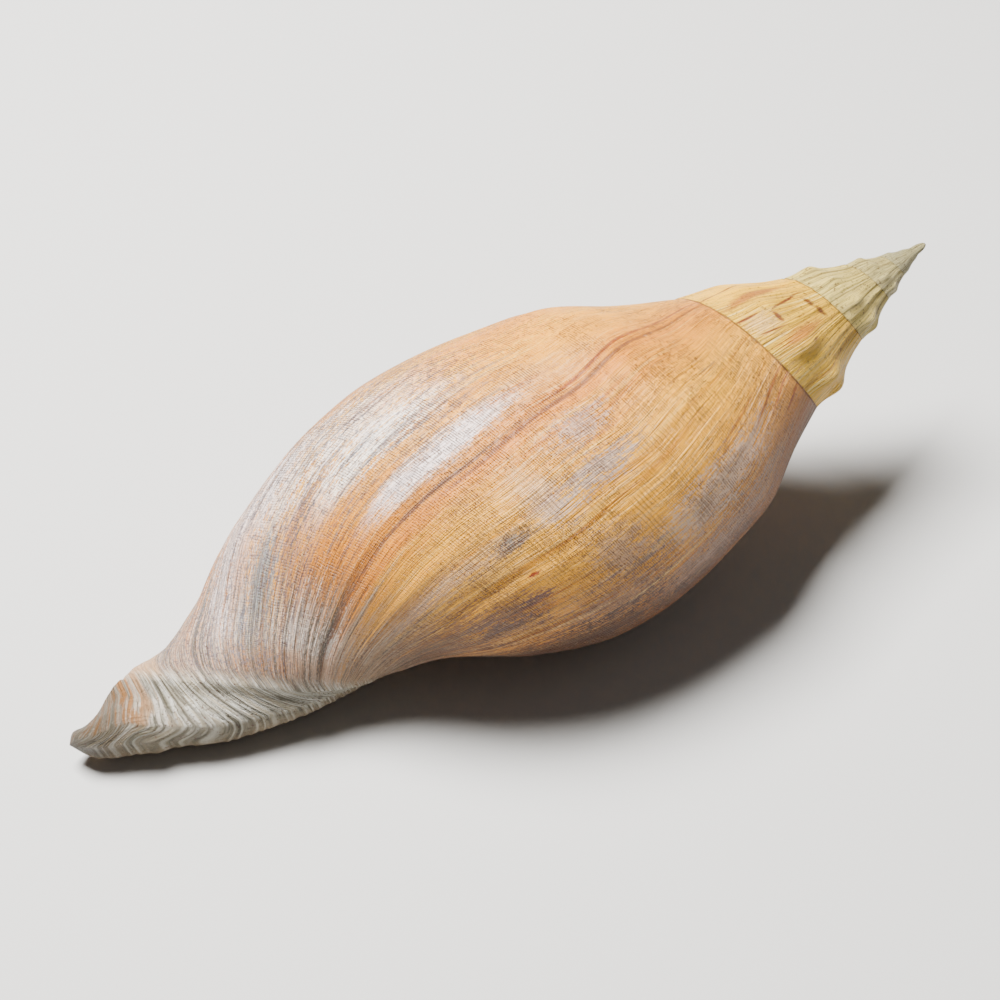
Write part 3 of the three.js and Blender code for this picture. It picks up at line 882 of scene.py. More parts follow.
    def nucleus(self, surface: Surface, oldest: Array) -> None:
        """Close the first whorl with its rounded start.

        Args:
            surface: Where the points go.
            oldest: Numbers of the oldest whorl's points.
        """
        ring = np.concatenate([oldest[:, 0], oldest[-1, 1:-1]])
        points = np.concatenate(surface.points)[ring]
        growth = np.concatenate(surface.growth)[ring]
        zone = np.concatenate(surface.zone)[ring]
        middle = float(self.form.axis_bend(0.0))
        rings = [ring]
        for turn in np.linspace(0, math.pi / 2, self.apex_rings + 1)[1:]:
            wide = math.cos(turn)
            moved = points * [wide, wide, 1 - math.sin(turn)]
            moved += [middle * (1 - wide), 0, -self.form.apex_rise * math.sin(turn)]
            rings.append(surface.grid(moved, growth, zone))
        rings[-1][:] = rings[-1][0]
        around = np.array(rings)
        surface.skin(np.concatenate([around, around[:, :1]], axis=1))

    def mouth(self, surface: Surface, body: Array) -> None:
        """Add the glazed older whorl and pillar inside the mouth, and the plane of the outer lip.

        Args:
            surface: Where the points go.
            body: Numbers of the last whorl's points.
        """
        form = self.form
        inner_lip = body[-1, self.rows_to_suture:]
        row = np.concatenate([self.inner_rows(), np.full(self.rows_of_tip, 2.0)])[None, :]
        to_tip = np.concatenate([np.zeros(row.size - self.rows_of_tip), np.sin(self.tip_turns())])[None, :]
        share = np.linspace(0, 1, self.mouth_columns + 1)[1:, None]
        angle = mix(form.inner_lip, form.lip_angle(row), share)
        z = mix(form.inner_row(angle, row, form.hollow_end), form.length, to_tip)
        glaze = form.suture(angle) * mix(form.glaze, form.mouth_clearance, share) * (1 - to_tip)
        radius = np.maximum(self.narrowest_mouth * (1 - to_tip), form.inside(angle, z) - glaze)
        own = self.undressed(surface, angle, z, radius, Part.MOUTH)
        own[:, 0] = inner_lip[0]
        own[:, -1] = inner_lip[-1]
        numbers = np.concatenate([inner_lip[None, :], own])
        surface.skin(numbers)
        surface.zip(body[0].tolist(), numbers[-1].tolist())

    def outside(self) -> Surface:
        """Make the whole outside with the mouth's surface.

        Returns:
            One closed body.
        """
        surface = Surface()
        body = self.body(surface)
        self.mouth(surface, body)
        newer = body
        for turn in range(1, self.form.spire_whorls + 1):
            newer = self.spire(surface, newer, turn)
        self.nucleus(surface, newer)
        return surface

    def wall(self, surface: Surface, age: Array, rows: Array, outer: bool) -> Array:
        """Add one wall of the hollow.

        Args:
            surface: Where the points go.
            age: Degrees inside the lip, by column. From 0 down to -1 it crosses the mouth.
            rows: 0 at the suture, 1 at the older whorl's ridge, 2 at the end.
            outer: Whether it is the wall under the outside, and not the one on the pillar.

        Returns:
            Numbers of its points, by column and row.
        """
        form = self.form
        lip = form.lip_angle(rows)[None, :]
        angle = np.where(age < 0, mix(lip, form.inner_lip, -age), age + lip * (1 - age / form.last_age))
        deep = smoothstep(age, 0, form.deep_hollow_age)
        end = mix(form.hollow_end, form.suture(angle) * form.deep_hollow_end, deep)
        z = form.inner_row(angle, rows[None, :], end)
        radius = form.inside(angle, z)
        if outer:
            suture = form.suture(angle)
            thinning = form.edge_thinning * np.clip(1 - np.maximum(age, 0) / form.edge_reach, 0, None) ** 2
            taper = 1 - smoothstep(rows[None, :] / 2, form.hollow_taper_from, 1)
            room = form.outside(angle, z) - suture * (form.wall - thinning) - radius
            radius = radius + np.maximum(room * taper, suture * form.narrowest_hollow)
        return self.undressed(surface, angle, z, radius, Part.HOLLOW)

    def hollow(self) -> Surface:
        """Make the hollow of the last whorl, from over the mouth to a turn and a half inside.

        Returns:
            One closed body, which is cut from the outside.
        """
        form = self.form
        surface = Surface()
        over = np.concatenate([[-1 - self.hollow_overrun], np.linspace(-1, 0, self.mouth_columns + 1)[:-1]])
        deeper = [np.linspace(a, b, n + 1)[(0 if k == 0 else 1):] for k, (a, b, n) in enumerate(self.hollow_ages)]
        age = np.concatenate([over, *deeper])[:, None]
        rows = self.inner_rows()[self.first_hollow_row :]
        inner = self.wall(surface, age, rows, False)
        outer = self.wall(surface, age, np.linspace(rows[0], rows[-1], self.outer_wall_rows), True)
        surface.skin(np.concatenate([outer, inner[:, ::-1], outer[:, :1]], axis=1), falling=True)
        surface.zip(outer[0].tolist(), inner[0].tolist())
        surface.zip(inner[-1].tolist(), outer[-1].tolist())
        return surface

    def build(self) -> bpy.types.Object:
        """Cut the hollow from the outside.

        Returns:
            The shell as one closed mesh, upright and in millimetres.
        """
        skin, hollow = self.outside(), self.hollow()
        shell = skin.mesh_object("volute_shell")
        cutter = hollow.mesh_object("hollow_cutter")
        cut = shell.modifiers.new("hollow", "BOOLEAN")
        cut.operation = "DIFFERENCE"
        cut.solver = "MANIFOLD"
        cut.object = cutter
        bpy.context.view_layer.update()
        evaluated = shell.evaluated_get(bpy.context.evaluated_depsgraph_get())
        mesh = bpy.data.meshes.new_from_object(evaluated)
        shell.modifiers.clear()
        shell.data = mesh
        bpy.data.objects.remove(cutter)
        self.keep_coordinates(mesh, skin, hollow)
        return shell

    @staticmethod
    def keep_coordinates(mesh: bpy.types.Mesh, *surfaces: Surface) -> None:
        """Give each point of the cut mesh the growth coordinates of the nearest made point.

        Args:
            mesh: The cut mesh.
            surfaces: The surfaces that it was cut from.
        """
        points, growth, zone = (
            np.concatenate([block for surface in surfaces for block in getattr(surface, kind)])
            for kind in ("points", "growth", "zone")
        )
        tree = KDTree(len(points))
        for number, point in enumerate(points):
            tree.insert(point, number)
        tree.balance()
        nearest = np.array([tree.find(v.co)[1] for v in mesh.vertices])
        for name, values in (("growth", growth), ("zone", zone)):
            kept = mesh.attributes.new(name, "FLOAT_VECTOR", "POINT")
            kept.data.foreach_set("vector", values[nearest].astype(np.float32).ravel())


def linear(colour: str) -> Colour:
    """Return the linear colour of an sRGB hex value such as "#c9a36b"."""
    parts = [int(colour[i : i + 2], 16) / 255 for i in (1, 3, 5)]
    return (*[c / 12.92 if c <= 0.04045 else ((c + 0.055) / 1.055) ** 2.4 for c in parts], 1.0)


Socket = bpy.types.NodeSocket
Value = float | tuple | Socket


@dataclass
class Bench:
    """A material's node tree, and the one way that nodes are added to it."""

    tree: bpy.types.NodeTree

    def add(self, kind: str, inputs: dict | None = None, **settings: object) -> bpy.types.Node:
        """Add a node.

        Args:
            kind: The node's type.
            inputs: Values, or sockets to link from, by input name or number.
            settings: Values of the node's own properties.

        Returns:
            The node.
        """
        node = self.tree.nodes.new(kind)
        for name, value in settings.items():
            setattr(node, name, value)
        for name, value in (inputs or {}).items():
            if isinstance(value, Socket):
                self.tree.links.new(value, node.inputs[name])
            else:
                node.inputs[name].default_value = value
        return node

    def calc(self, operation: str, *values: Value, clamp: bool = False) -> Socket:
        """Return the outcome of one calculation.

        Args:
            operation: The Math node's operation.
            values: Numbers or sockets.
            clamp: Whether the outcome is kept from 0 to 1.

        Returns:
            The outcome's socket.
        """
        return self.add("ShaderNodeMath", dict(enumerate(values)), operation=operation, use_clamp=clamp).outputs[0]

    def times(self, first: Value, *factors: Value) -> Value:
        """Multiply numbers or sockets.

        Args:
            first: The first factor.
            factors: The others.

        Returns:
            The product.
        """
        for factor in factors:
            first = self.calc("MULTIPLY", first, factor)
        return first

    def scaled(self, value: Value, factor: Value, offset: Value) -> Socket:
        """Return value times factor plus offset."""
        return self.calc("MULTIPLY_ADD", value, factor, offset)

    def rise(self, value: Value, low: float, high: float) -> Socket:
        """Return a smooth rise from 0 at low to 1 at high.

        Args:
            value: The value that rises.
            low: Where the rise starts.
            high: Where it ends, which can be below low.

        Returns:
            The rise's socket.
        """
        inputs = {0: value, 1: low, 2: high, 3: 0.0, 4: 1.0}
        return self.add("ShaderNodeMapRange", inputs, interpolation_type="SMOOTHSTEP", clamp=True).outputs[0]

    def blend(self, share: Value, a: Value, b: Value) -> Socket:
        """Return one colour laid over another.

        Args:
            share: How much of b shows.
            a: The colour below.
            b: The colour above.

        Returns:
            The mixed colour's socket.
        """
        inputs = {0: share, 6: a, 7: b}
        return self.add("ShaderNodeMix", inputs, data_type="RGBA", clamp_factor=True).outputs[2]

    def lay(self, mask: Value, share: Value, colour: Value, tone: str) -> Socket:
        """Lay a tone over a colour.

        Args:
            mask: Where the tone lies.
            share: How much of the tone shows there.
            colour: The colour below.
            tone: The tone as an sRGB hex value.

        Returns:
            The mixed colour's socket.
        """
        return self.blend(self.times(mask, share), colour, linear(tone))

    def tint(self, value: Value, low: float, high: float, share: Value, colour: Value, tone: str) -> Socket:
        """Lay a tone over a colour where a pattern is strong.

        Args:
            value: The pattern.
            low: Its value where the tone starts.
            high: Its value where the tone is full.
            share: How much of the tone shows there.
            colour: The colour below.
            tone: The tone as an sRGB hex value.

        Returns:
            The mixed colour's socket.
        """
        return self.lay(self.rise(value, low, high), share, colour, tone)

    def ramp(self, value: Socket, stops: tuple, smooth: bool = False) -> Socket:
        """Return a colour picked by a value.

        Args:
            value: What picks the colour, from 0 to 1.
            stops: Pairs of place and colour, as an sRGB hex value.
            smooth: Whether the colours ease into each other.

        Returns:
            The colour's socket.
        """
        node = self.add("ShaderNodeValToRGB", {0: value})
        band = node.color_ramp
        band.interpolation = "EASE" if smooth else "LINEAR"
        while len(band.elements) < len(stops):
            band.elements.new(0.5)
        for element, (place, colour) in zip(band.elements, stops):
            element.position = place
            element.color = linear(colour)
        return node.outputs[0]

    def noise(self, place: Socket, scale: float, detail: float, rough: float) -> Socket:
        """Return noise.

        Args:
            place: The coordinate that it is read at.
            scale: Noise cells for each unit of that coordinate.
            detail: Finer levels of noise.
            rough: Strength of the finer levels.

        Returns:
            The noise's socket, about 0.5.
        """
        inputs = {"Vector": place, "Scale": scale, "Detail": detail, "Roughness": rough}
        return self.add("ShaderNodeTexNoise", inputs).outputs["Fac"]


@dataclass(frozen=True)
class Streaks:
    """Noise drawn out along the growth lines, with its size at the widest part of the last whorl.

    Attributes:
        wide: Width of a noise cell across the growth lines in millimetres.
        long: Its length along them in millimetres.
        seed: Which noise it is.
        detail: How many finer levels it has.
    """

    wide: float
    long: float
    seed: float
    detail: float = 2.0


# What one degree of age and one share along measure there in millimetres.
MM_PER_DEGREE = 1.5
MM_PER_SHARE = 100.0

# Growth streaks of the last whorl. The real ones go down to 0.1 mm; the finest drawn are as wide as a
# picture's pixel or two, because finer ones would only show as an even tone.
BROAD = Streaks(9.375, 200.0, 1.3, 3.0)
MIDDLE = Streaks(3.0, 125.0, 5.1, 3.0)
FINE = Streaks(1.25, 71.429, 9.4, 3.0)
HAIR = Streaks(0.65217, 20.0, 2.2)
CRACKS = Streaks(4.5455, 142.86, 7.7)
LOW_RIBS = Streaks(2.5, 142.86, 21.4)
# How the thin lines are broken up along their length, by crumbs of worn-off outermost layer.
CRUMBS = Streaks(1.0, 1.9231, 17.7)
# The uneven edges of stains: lumps, frayed ends, and the weave of growth lines and spiral striae.
EDGE_LUMPS = Streaks(3.5714, 11.111, 3.7, 4.0)
EDGE_FRAY = Streaks(1.3636, 38.462, 8.1, 3.0)
EDGE_WEFT = Streaks(0.88235, 1.5152, 5.5)
EDGE_WARP = Streaks(0.71429, 25.0, 1.5)
# Spiral striae: how they waver, where they break off and how far the wide ones reach.
STRIAE_WAVER = Streaks(12.5, 11.111, 3.3, 3.0)
STRIAE_BREAKS = Streaks(3.0, 2.5, 6.6)
WIDE_STRIAE_REACH = Streaks(16.667, 14.286, 31.0)
# Shades of the canal's scales, across and along their own lines.
SCALE_SHADES = Streaks(1.8182, 125.0, 4.4, 3.0)
# Streaks of the spire.
SPIRE_FINE = Streaks(1.5, 90.909, 9.4, 3.0)
SPIRE_BROAD = Streaks(4.2857, 125.0, 3.9, 3.0)
SPIRE_RIBS = Streaks(1.875, 200.0, 6.1)
SPIRE_STAINS = Streaks(6.25, 200.0, 4.7)
SPIRE_LIGHTS = Streaks(3.0, 142.86, 2.9)


class Region(Enum):
    """A region of the outside, by what the photo shows there."""

    WHORL = "the whole last whorl"
    LEFT = "its worn white side"
    LOW = "its part toward the canal"
    RIGHT = "its dull side"
    SPIRE = "the spire"
    OLD_SPIRE = "the spire's worn older whorls"


@dataclass(frozen=True)
class Tone:
    """A colour laid over another where a noise is strong or weak.

    Attributes:
        noise: The streaks that it follows, or None for the soft noise.
        span: The noise's value where the tone starts, and where it is full.
        share: How much of it shows.
        colour: The tone.
        where: The region that it lies in.
    """

    noise: Streaks | None
    span: Span
    share: float
    colour: str
    where: Region = Region.WHORL


@dataclass(frozen=True)
class Blotch:
    """A stain or worn patch at one place of the outside.

    Attributes:
        line: Growth line that it is centred on, in degrees.
        along: Its centre's distance from the apex, as a share of the suture's.
        size: Half its width in degrees and half its height as a share.
        colour: Its colour.
        strength: How much it covers.
        ragged: How uneven its edge is.
        lean: Degrees that it leans for each share along.
    """

    line: float
    along: float
    size: Span
    colour: str
    strength: float = 0.6
    ragged: float = 1.0
    lean: float = 0.0


# Near-white of the worn patches on the lit left side, raised as a painted highlight.
BONE_WHITE_AND_HIGHLIGHT = "#f5f0ec"
RUST = "#6d3526"
DULL_RUST = "#602c1c"
UMBER = "#93502f"

# How far the uneven height moves a patch's edge, and the distances from its centre, in half sizes, where
# the patch starts and is full.
BLOTCH_SWAY = 0.55
BLOTCH_EDGE = (1.35, 0.45)

BODY_BLOTCHES = (
    # Worn white patches of the left side, which faces the light; the ones at growth lines 66 to 88 are made whiter
    # still as a painted highlight.
    Blotch(106.6, 2.46, (4.4, 0.42), "#efe3e0", 0.85, 0.6, 1.0),
    Blotch(88.0, 2.6, (6.0, 0.46), "#f9f1e6", 0.85, 1.2),
    Blotch(76.0, 2.5, (9.0, 0.42), BONE_WHITE_AND_HIGHLIGHT, 0.45, 1.5),
    Blotch(66.0, 2.85, (14.0, 0.35), BONE_WHITE_AND_HIGHLIGHT, 0.55, 1.6),
    Blotch(49.0, 3.05, (16.0, 0.4), "#e6dcdc", 0.65, 1.2),
    Blotch(104.0, 1.75, (6.0, 0.3), "#c7aa8c", 0.35, 1.6),
    # The orange band, and the dark lines where growth stopped.
    Blotch(118.6, 2.3, (2.6, 1.2), "#cf7a26", 0.7, 0.35, 1.0),
    Blotch(115.9, 1.8, (0.95, 0.9), "#54302a", 0.75, 0.3, 3.0),
    Blotch(111.6, 1.5, (0.7, 0.6), "#743024", 0.8, 0.14, 5.0),
    Blotch(115.4, 2.75, (0.9, 0.65), "#4e322c", 0.85, 0.2),
    Blotch(114.5, 3.35, (1.6, 0.4), "#64493c", 0.85, 0.3),
    Blotch(91.4, 2.4, (0.8, 0.75), "#4d494c", 0.55, 0.8, 1.0),
    # Grey worn patches of the middle.
    Blotch(127.0, 1.98, (4.5, 0.15), "#ab968c", 0.7, 1.3),
    Blotch(141.0, 2.05, (5.0, 0.2), "#938782", 0.8, 1.3),
    Blotch(138.0, 2.33, (10.0, 0.1), "#a69389", 0.75, 1.3),
    Blotch(142.5, 2.57, (3.4, 0.1), "#4d4a48", 0.95, 1.0),
    Blotch(141.0, 2.95, (5.0, 0.3), "#8b756b", 0.7, 1.2),
    # Dull and dark patches toward the right, the side turned from the light: grey stains and small marks, and three
    # large dark patches of painted shade.
    # Painted shade: a large dark brown patch low on the side turned from the light.
    Blotch(168.0, 3.2, (15.0, 0.28), "#55392f", 0.75, 1.2, 10.0),
    Blotch(166.0, 2.85, (6.0, 0.18), "#6d5049", 0.6, 1.5),
    Blotch(177.0, 1.66, (9.0, 0.36), "#b6a69c", 0.7, 1.3),
    Blotch(200.0, 1.95, (10.0, 0.55), "#8f8079", 0.75, 1.2),
    Blotch(168.0, 2.25, (9.0, 0.14), "#94827a", 0.6, 1.3),
    Blotch(186.0, 2.45, (10.0, 0.3), "#786459", 0.7, 1.3),
    # Painted shade: the darkest patch, on the lower right side turned from the light.
    Blotch(202.0, 2.8, (15.0, 0.6), "#2f1a11", 0.92, 0.9),
    # Painted shade: dark grey-brown near the right edge, turned from the light.
    Blotch(209.0, 2.1, (8.0, 0.5), "#4b3a36", 0.7, 1.1),
    Blotch(172.0, 2.92, (5.0, 0.16), "#5d4a42", 0.75, 1.3, -8.0),
    Blotch(165.0, 2.7, (1.6, 0.08), "#523439", 0.85, 0.9),
    Blotch(156.5, 2.62, (0.9, 0.03), "#7a2a12", 0.95, 0.5),
    # Stains and grey wear toward the canal, and a brown band just above the ridge.
    Blotch(58.0, 3.15, (6.0, 0.16), "#c98f63", 0.6, 1.2),
    Blotch(97.0, 3.08, (20.0, 0.2), "#b9743c", 0.75, 1.4, 8.0),
    Blotch(71.0, 3.2, (5.5, 0.14), "#5d6066", 0.75, 1.3, 8.0),
    Blotch(70.0, 3.4, (9.0, 0.3), "#8e918b", 0.6, 1.5),
    Blotch(104.0, 3.5, (16.0, 0.22), "#d3cdc5", 0.6, 1.5, 10.0),
    Blotch(92.0, 3.6, (38.0, 0.1), "#8d684b", 0.75, 1.2),
    # Warm patches of the ground colour.
    Blotch(130.0, 3.0, (7.0, 0.45), "#d99b45", 0.45, 1.2),
    Blotch(132.0, 2.62, (8.0, 0.4), "#e2ab5c", 0.45, 1.2),
    Blotch(74.0, 1.72, (15.0, 0.48), "#dd8730", 0.7, 1.2, 10.0),
    Blotch(93.0, 1.5, (13.0, 0.45), "#e09a42", 0.55, 1.2, 6.0),
    # Small brown marks near the suture.
    Blotch(166.0, 1.38, (0.7, 0.16), "#8a5230", 0.7, 0.4, 3.0),
    Blotch(174.0, 1.16, (0.9, 0.15), UMBER, 0.75, 0.5, 12.0),
    Blotch(180.0, 1.1, (0.9, 0.12), UMBER, 0.7, 0.5, 14.0),
    Blotch(190.0, 1.06, (1.2, 0.07), "#7c3c26", 0.85, 0.8, 14.0),
    Blotch(141.5, 1.3, (0.5, 0.06), "#5c4a40", 0.6, 0.5, -6.0),
)

SPIRE_BLOTCHES = (
    # The yellow flank of the second whorl, with its brown marks.
    Blotch(434.0, 1.35, (24.0, 0.55), "#f8b81c", 0.85, 0.9),
    Blotch(454.0, 1.42, (4.4, 0.28), "#a4610a", 0.95, 0.5, 22.0),
    Blotch(440.0, 1.58, (0.8, 0.28), "#85480f", 0.9, 0.3, 22.0),
    Blotch(471.0, 1.28, (1.3, 0.18), RUST, 0.95, 0.45, 34.0),
    Blotch(482.0, 1.6, (9.0, 0.13), "#e6c090", 0.6, 1.3),
    Blotch(474.0, 1.66, (1.1, 0.13), RUST, 0.95, 0.4),
    Blotch(490.0, 1.58, (0.7, 0.16), RUST, 0.9, 0.3, -12.0),
    Blotch(483.0, 1.45, (5.0, 0.02), RUST, 0.9, 0.45),
    Blotch(480.0, 1.13, (7.0, 0.024), DULL_RUST, 0.9, 0.6),
    Blotch(495.0, 1.12, (8.0, 0.022), DULL_RUST, 0.9, 0.6),
    # Brown and straw-coloured stains beyond them.
    Blotch(503.0, 1.42, (6.0, 0.24), "#a5620c", 0.9, 0.6, 4.0),
    Blotch(513.0, 1.36, (1.5, 0.04), "#5f3018", 0.85, 0.9),
    Blotch(530.0, 1.4, (17.0, 0.4), "#c4a25c", 0.5, 1.0),
    Blotch(543.0, 1.45, (0.9, 0.4), "#8f6a35", 0.7, 0.4, -6.0),
    Blotch(525.0, 1.68, (0.6, 0.1), "#8f5a44", 0.6, 0.6, 26.0),
)


@dataclass
class GrowthLines:
    """The shell's growth coordinates and noises as node sockets, and the patterns that follow them.

    Every noise lies about 0.5, nearly all of it between 0.3 and 0.7. So a rise such as 0.47, 0.33 picks its
    weak parts and one such as 0.54, 0.68 its strong ones, more sharply where the two are closer.

    Attributes:
        bench: The node tree.
        line: Age of the growth line in degrees.
        along: Distance from the apex as a share of the suture's.
        scale: Scale line of the canal in millimetres.
        canal: From 1 at the ridge to 2 well beyond the smooth ridge, and 0 above the canal.
        spire: 1 on the spire.
        part: The number of a Part.
        cloud: Soft uneven noise.
        speck: Fine noise.
        made: The streaks that are made already.
    """

    bench: Bench
    line: Socket
    along: Socket
    scale: Socket
    canal: Socket
    spire: Socket
    part: Socket
    cloud: Socket
    speck: Socket
    made: dict[Streaks, Socket] = field(default_factory=dict)

    @classmethod
    def on(cls, bench: Bench, cloud: float, speck: float) -> "GrowthLines":
        """Read what is kept on the mesh's points.

        Args:
            bench: The node tree.
            cloud: Size of the soft noise's cells in millimetres.
            speck: Size of the fine noise's cells in millimetres.

        Returns:
            The sockets.
        """
        kept = []
        for name in ("growth", "zone"):
            vector = bench.add("ShaderNodeAttribute", attribute_name=name).outputs["Vector"]
            kept += bench.add("ShaderNodeSeparateXYZ", {0: vector}).outputs[:]
        place = bench.add("ShaderNodeTexCoord").outputs["Object"]
        soft = bench.noise(place, 1 / (cloud * MM), 5.0, 0.62)
        return cls(bench, *kept, soft, bench.noise(place, 1 / (speck * MM), 3.0, 0.7))

    def streaks(self, streaks: Streaks, on_scales: bool = False) -> Socket:
        """Return streaks along the growth lines, or along the scale lines of the canal.

        Args:
            streaks: The noise.
            on_scales: Whether it follows the scale lines.

        Returns:
            The noise's socket, about 0.5.
        """
        bench = self.bench
        if streaks in self.made:
            return self.made[streaks]
        across, per_across = (self.scale, 1.0) if on_scales else (self.line, MM_PER_DEGREE)
        down, per_down = (self.line, MM_PER_DEGREE) if on_scales else (self.along, MM_PER_SHARE)
        place = bench.add("ShaderNodeCombineXYZ", {
            0: bench.times(across, per_across / streaks.wide),
            1: bench.times(down, per_down / streaks.long),
            2: streaks.seed,
        })
        self.made[streaks] = bench.noise(place.outputs[0], 1.0, streaks.detail, 0.6)
        return self.made[streaks]

    def region(self, line: Span, along: Span) -> Socket:
        """Return the mask of a region that fades in over a span of age and a span along."""
        return self.bench.times(self.bench.rise(self.line, *line), self.bench.rise(self.along, *along))

    def toned(self, colour: Value, tones: tuple[Tone, ...], masks: dict[Region, Value]) -> Socket:
        """Lay tones over a colour.

        Args:
            colour: The colour below.
            tones: The tones, from the lowest up.
            masks: How strongly tones show in each of their regions.

        Returns:
            The colour with its tones.
        """
        for tone in tones:
            noise = self.streaks(tone.noise) if tone.noise else self.cloud
            strength = self.bench.times(masks[tone.where], tone.share)
            colour = self.bench.tint(noise, *tone.span, strength, colour, tone.colour)
        return colour

    def blotched(self, colour: Value, blotches: tuple[Blotch, ...]) -> Socket:
        """Lay stains and worn patches over a colour.

        Args:
            colour: The colour below.
            blotches: The patches.

        Returns:
            The colour with its patches.
        """
        bench = self.bench
        # An uneven height that is about 0 on average, which moves the edge of every patch.
        weave = bench.times(self.streaks(EDGE_WEFT), self.streaks(EDGE_WARP))
        edge = bench.scaled(weave, 9.0, -4.3)
        edge = bench.scaled(self.streaks(EDGE_LUMPS), 2.2, edge)
        edge = bench.scaled(self.streaks(EDGE_FRAY), 1.8, edge)
        for blotch in blotches:
            offset = bench.calc("SUBTRACT", self.along, blotch.along)
            leant = bench.scaled(offset, -blotch.lean, self.line)
            across = bench.calc("DIVIDE", bench.calc("SUBTRACT", leant, blotch.line), blotch.size[0])
            place = bench.add("ShaderNodeCombineXYZ", {0: across, 1: bench.calc("DIVIDE", offset, blotch.size[1])})
            far = bench.add("ShaderNodeVectorMath", {0: place.outputs[0]}, operation="LENGTH").outputs["Value"]
            inside = bench.rise(bench.scaled(edge, BLOTCH_SWAY * blotch.ragged, far), *BLOTCH_EDGE)
            colour = bench.lay(inside, blotch.strength, colour, blotch.colour)
        return colour


@dataclass(frozen=True)
class SpiralStriae:
    """Fine lines that run round the last whorl, square to the growth lines.

    The real striae are about 0.5 mm apart. That is finer than a pixel or two of the picture, so the fine
    ones are drawn about 1.1 mm apart and the wide ones about 2.1 mm.

    Attributes:
        fine_pitch: Distance between the fine lines in millimetres, at the widest part.
        fine_crest: Values of the fine wave where a line starts and is full.
        wide_pitch: Distance between the wide lines in millimetres.
        wide_crest: Values of the wide wave where a line starts and is full.
        wide_from: Ages in degrees over which the wide lines fade in.
        wide_strength: How strong the wide lines are.
        waver: How far the lines waver, in radians of their wave.
        worn: How much of a fine line is left where the surface is worn.
    """

    fine_pitch: float = 1.13636
    fine_crest: Span = (0.1, 0.95)
    wide_pitch: float = 2.12766
    wide_crest: Span = (0.55, 0.98)
    wide_from: Span = (105.0, 150.0)
    wide_strength: float = 0.62
    waver: float = 9.0
    worn: float = 0.2

    def mask(self, lines: GrowthLines, plain: Socket) -> Socket:
        """Return where the lines lie.

        Args:
            lines: The growth lines.
            plain: The mask of the last whorl's smooth part.

        Returns:
            The mask's socket.
        """
        bench = lines.bench
        wobble = bench.times(lines.streaks(STRIAE_WAVER), self.waver)
        fine, wide = (
            bench.rise(
                bench.calc("SINE", bench.scaled(lines.along, 2 * math.pi * MM_PER_SHARE / pitch, wobble)), *crest
            )
            for pitch, crest in ((self.fine_pitch, self.fine_crest), (self.wide_pitch, self.wide_crest))
        )
        fresh = bench.times(bench.rise(lines.cloud, 0.36, 0.58), bench.rise(lines.along, 3.3, 2.3))
        fresh = bench.scaled(fresh, 1 - self.worn, self.worn)
        fine = bench.times(fine, bench.rise(lines.streaks(STRIAE_BREAKS), 0.4, 0.58), fresh)
        reach = bench.times(bench.rise(lines.streaks(WIDE_STRIAE_REACH), 0.4, 0.64), self.wide_strength)
        wide = bench.times(wide, bench.rise(lines.line, *self.wide_from), reach)
        return bench.times(bench.calc("MAXIMUM", fine, wide), plain)


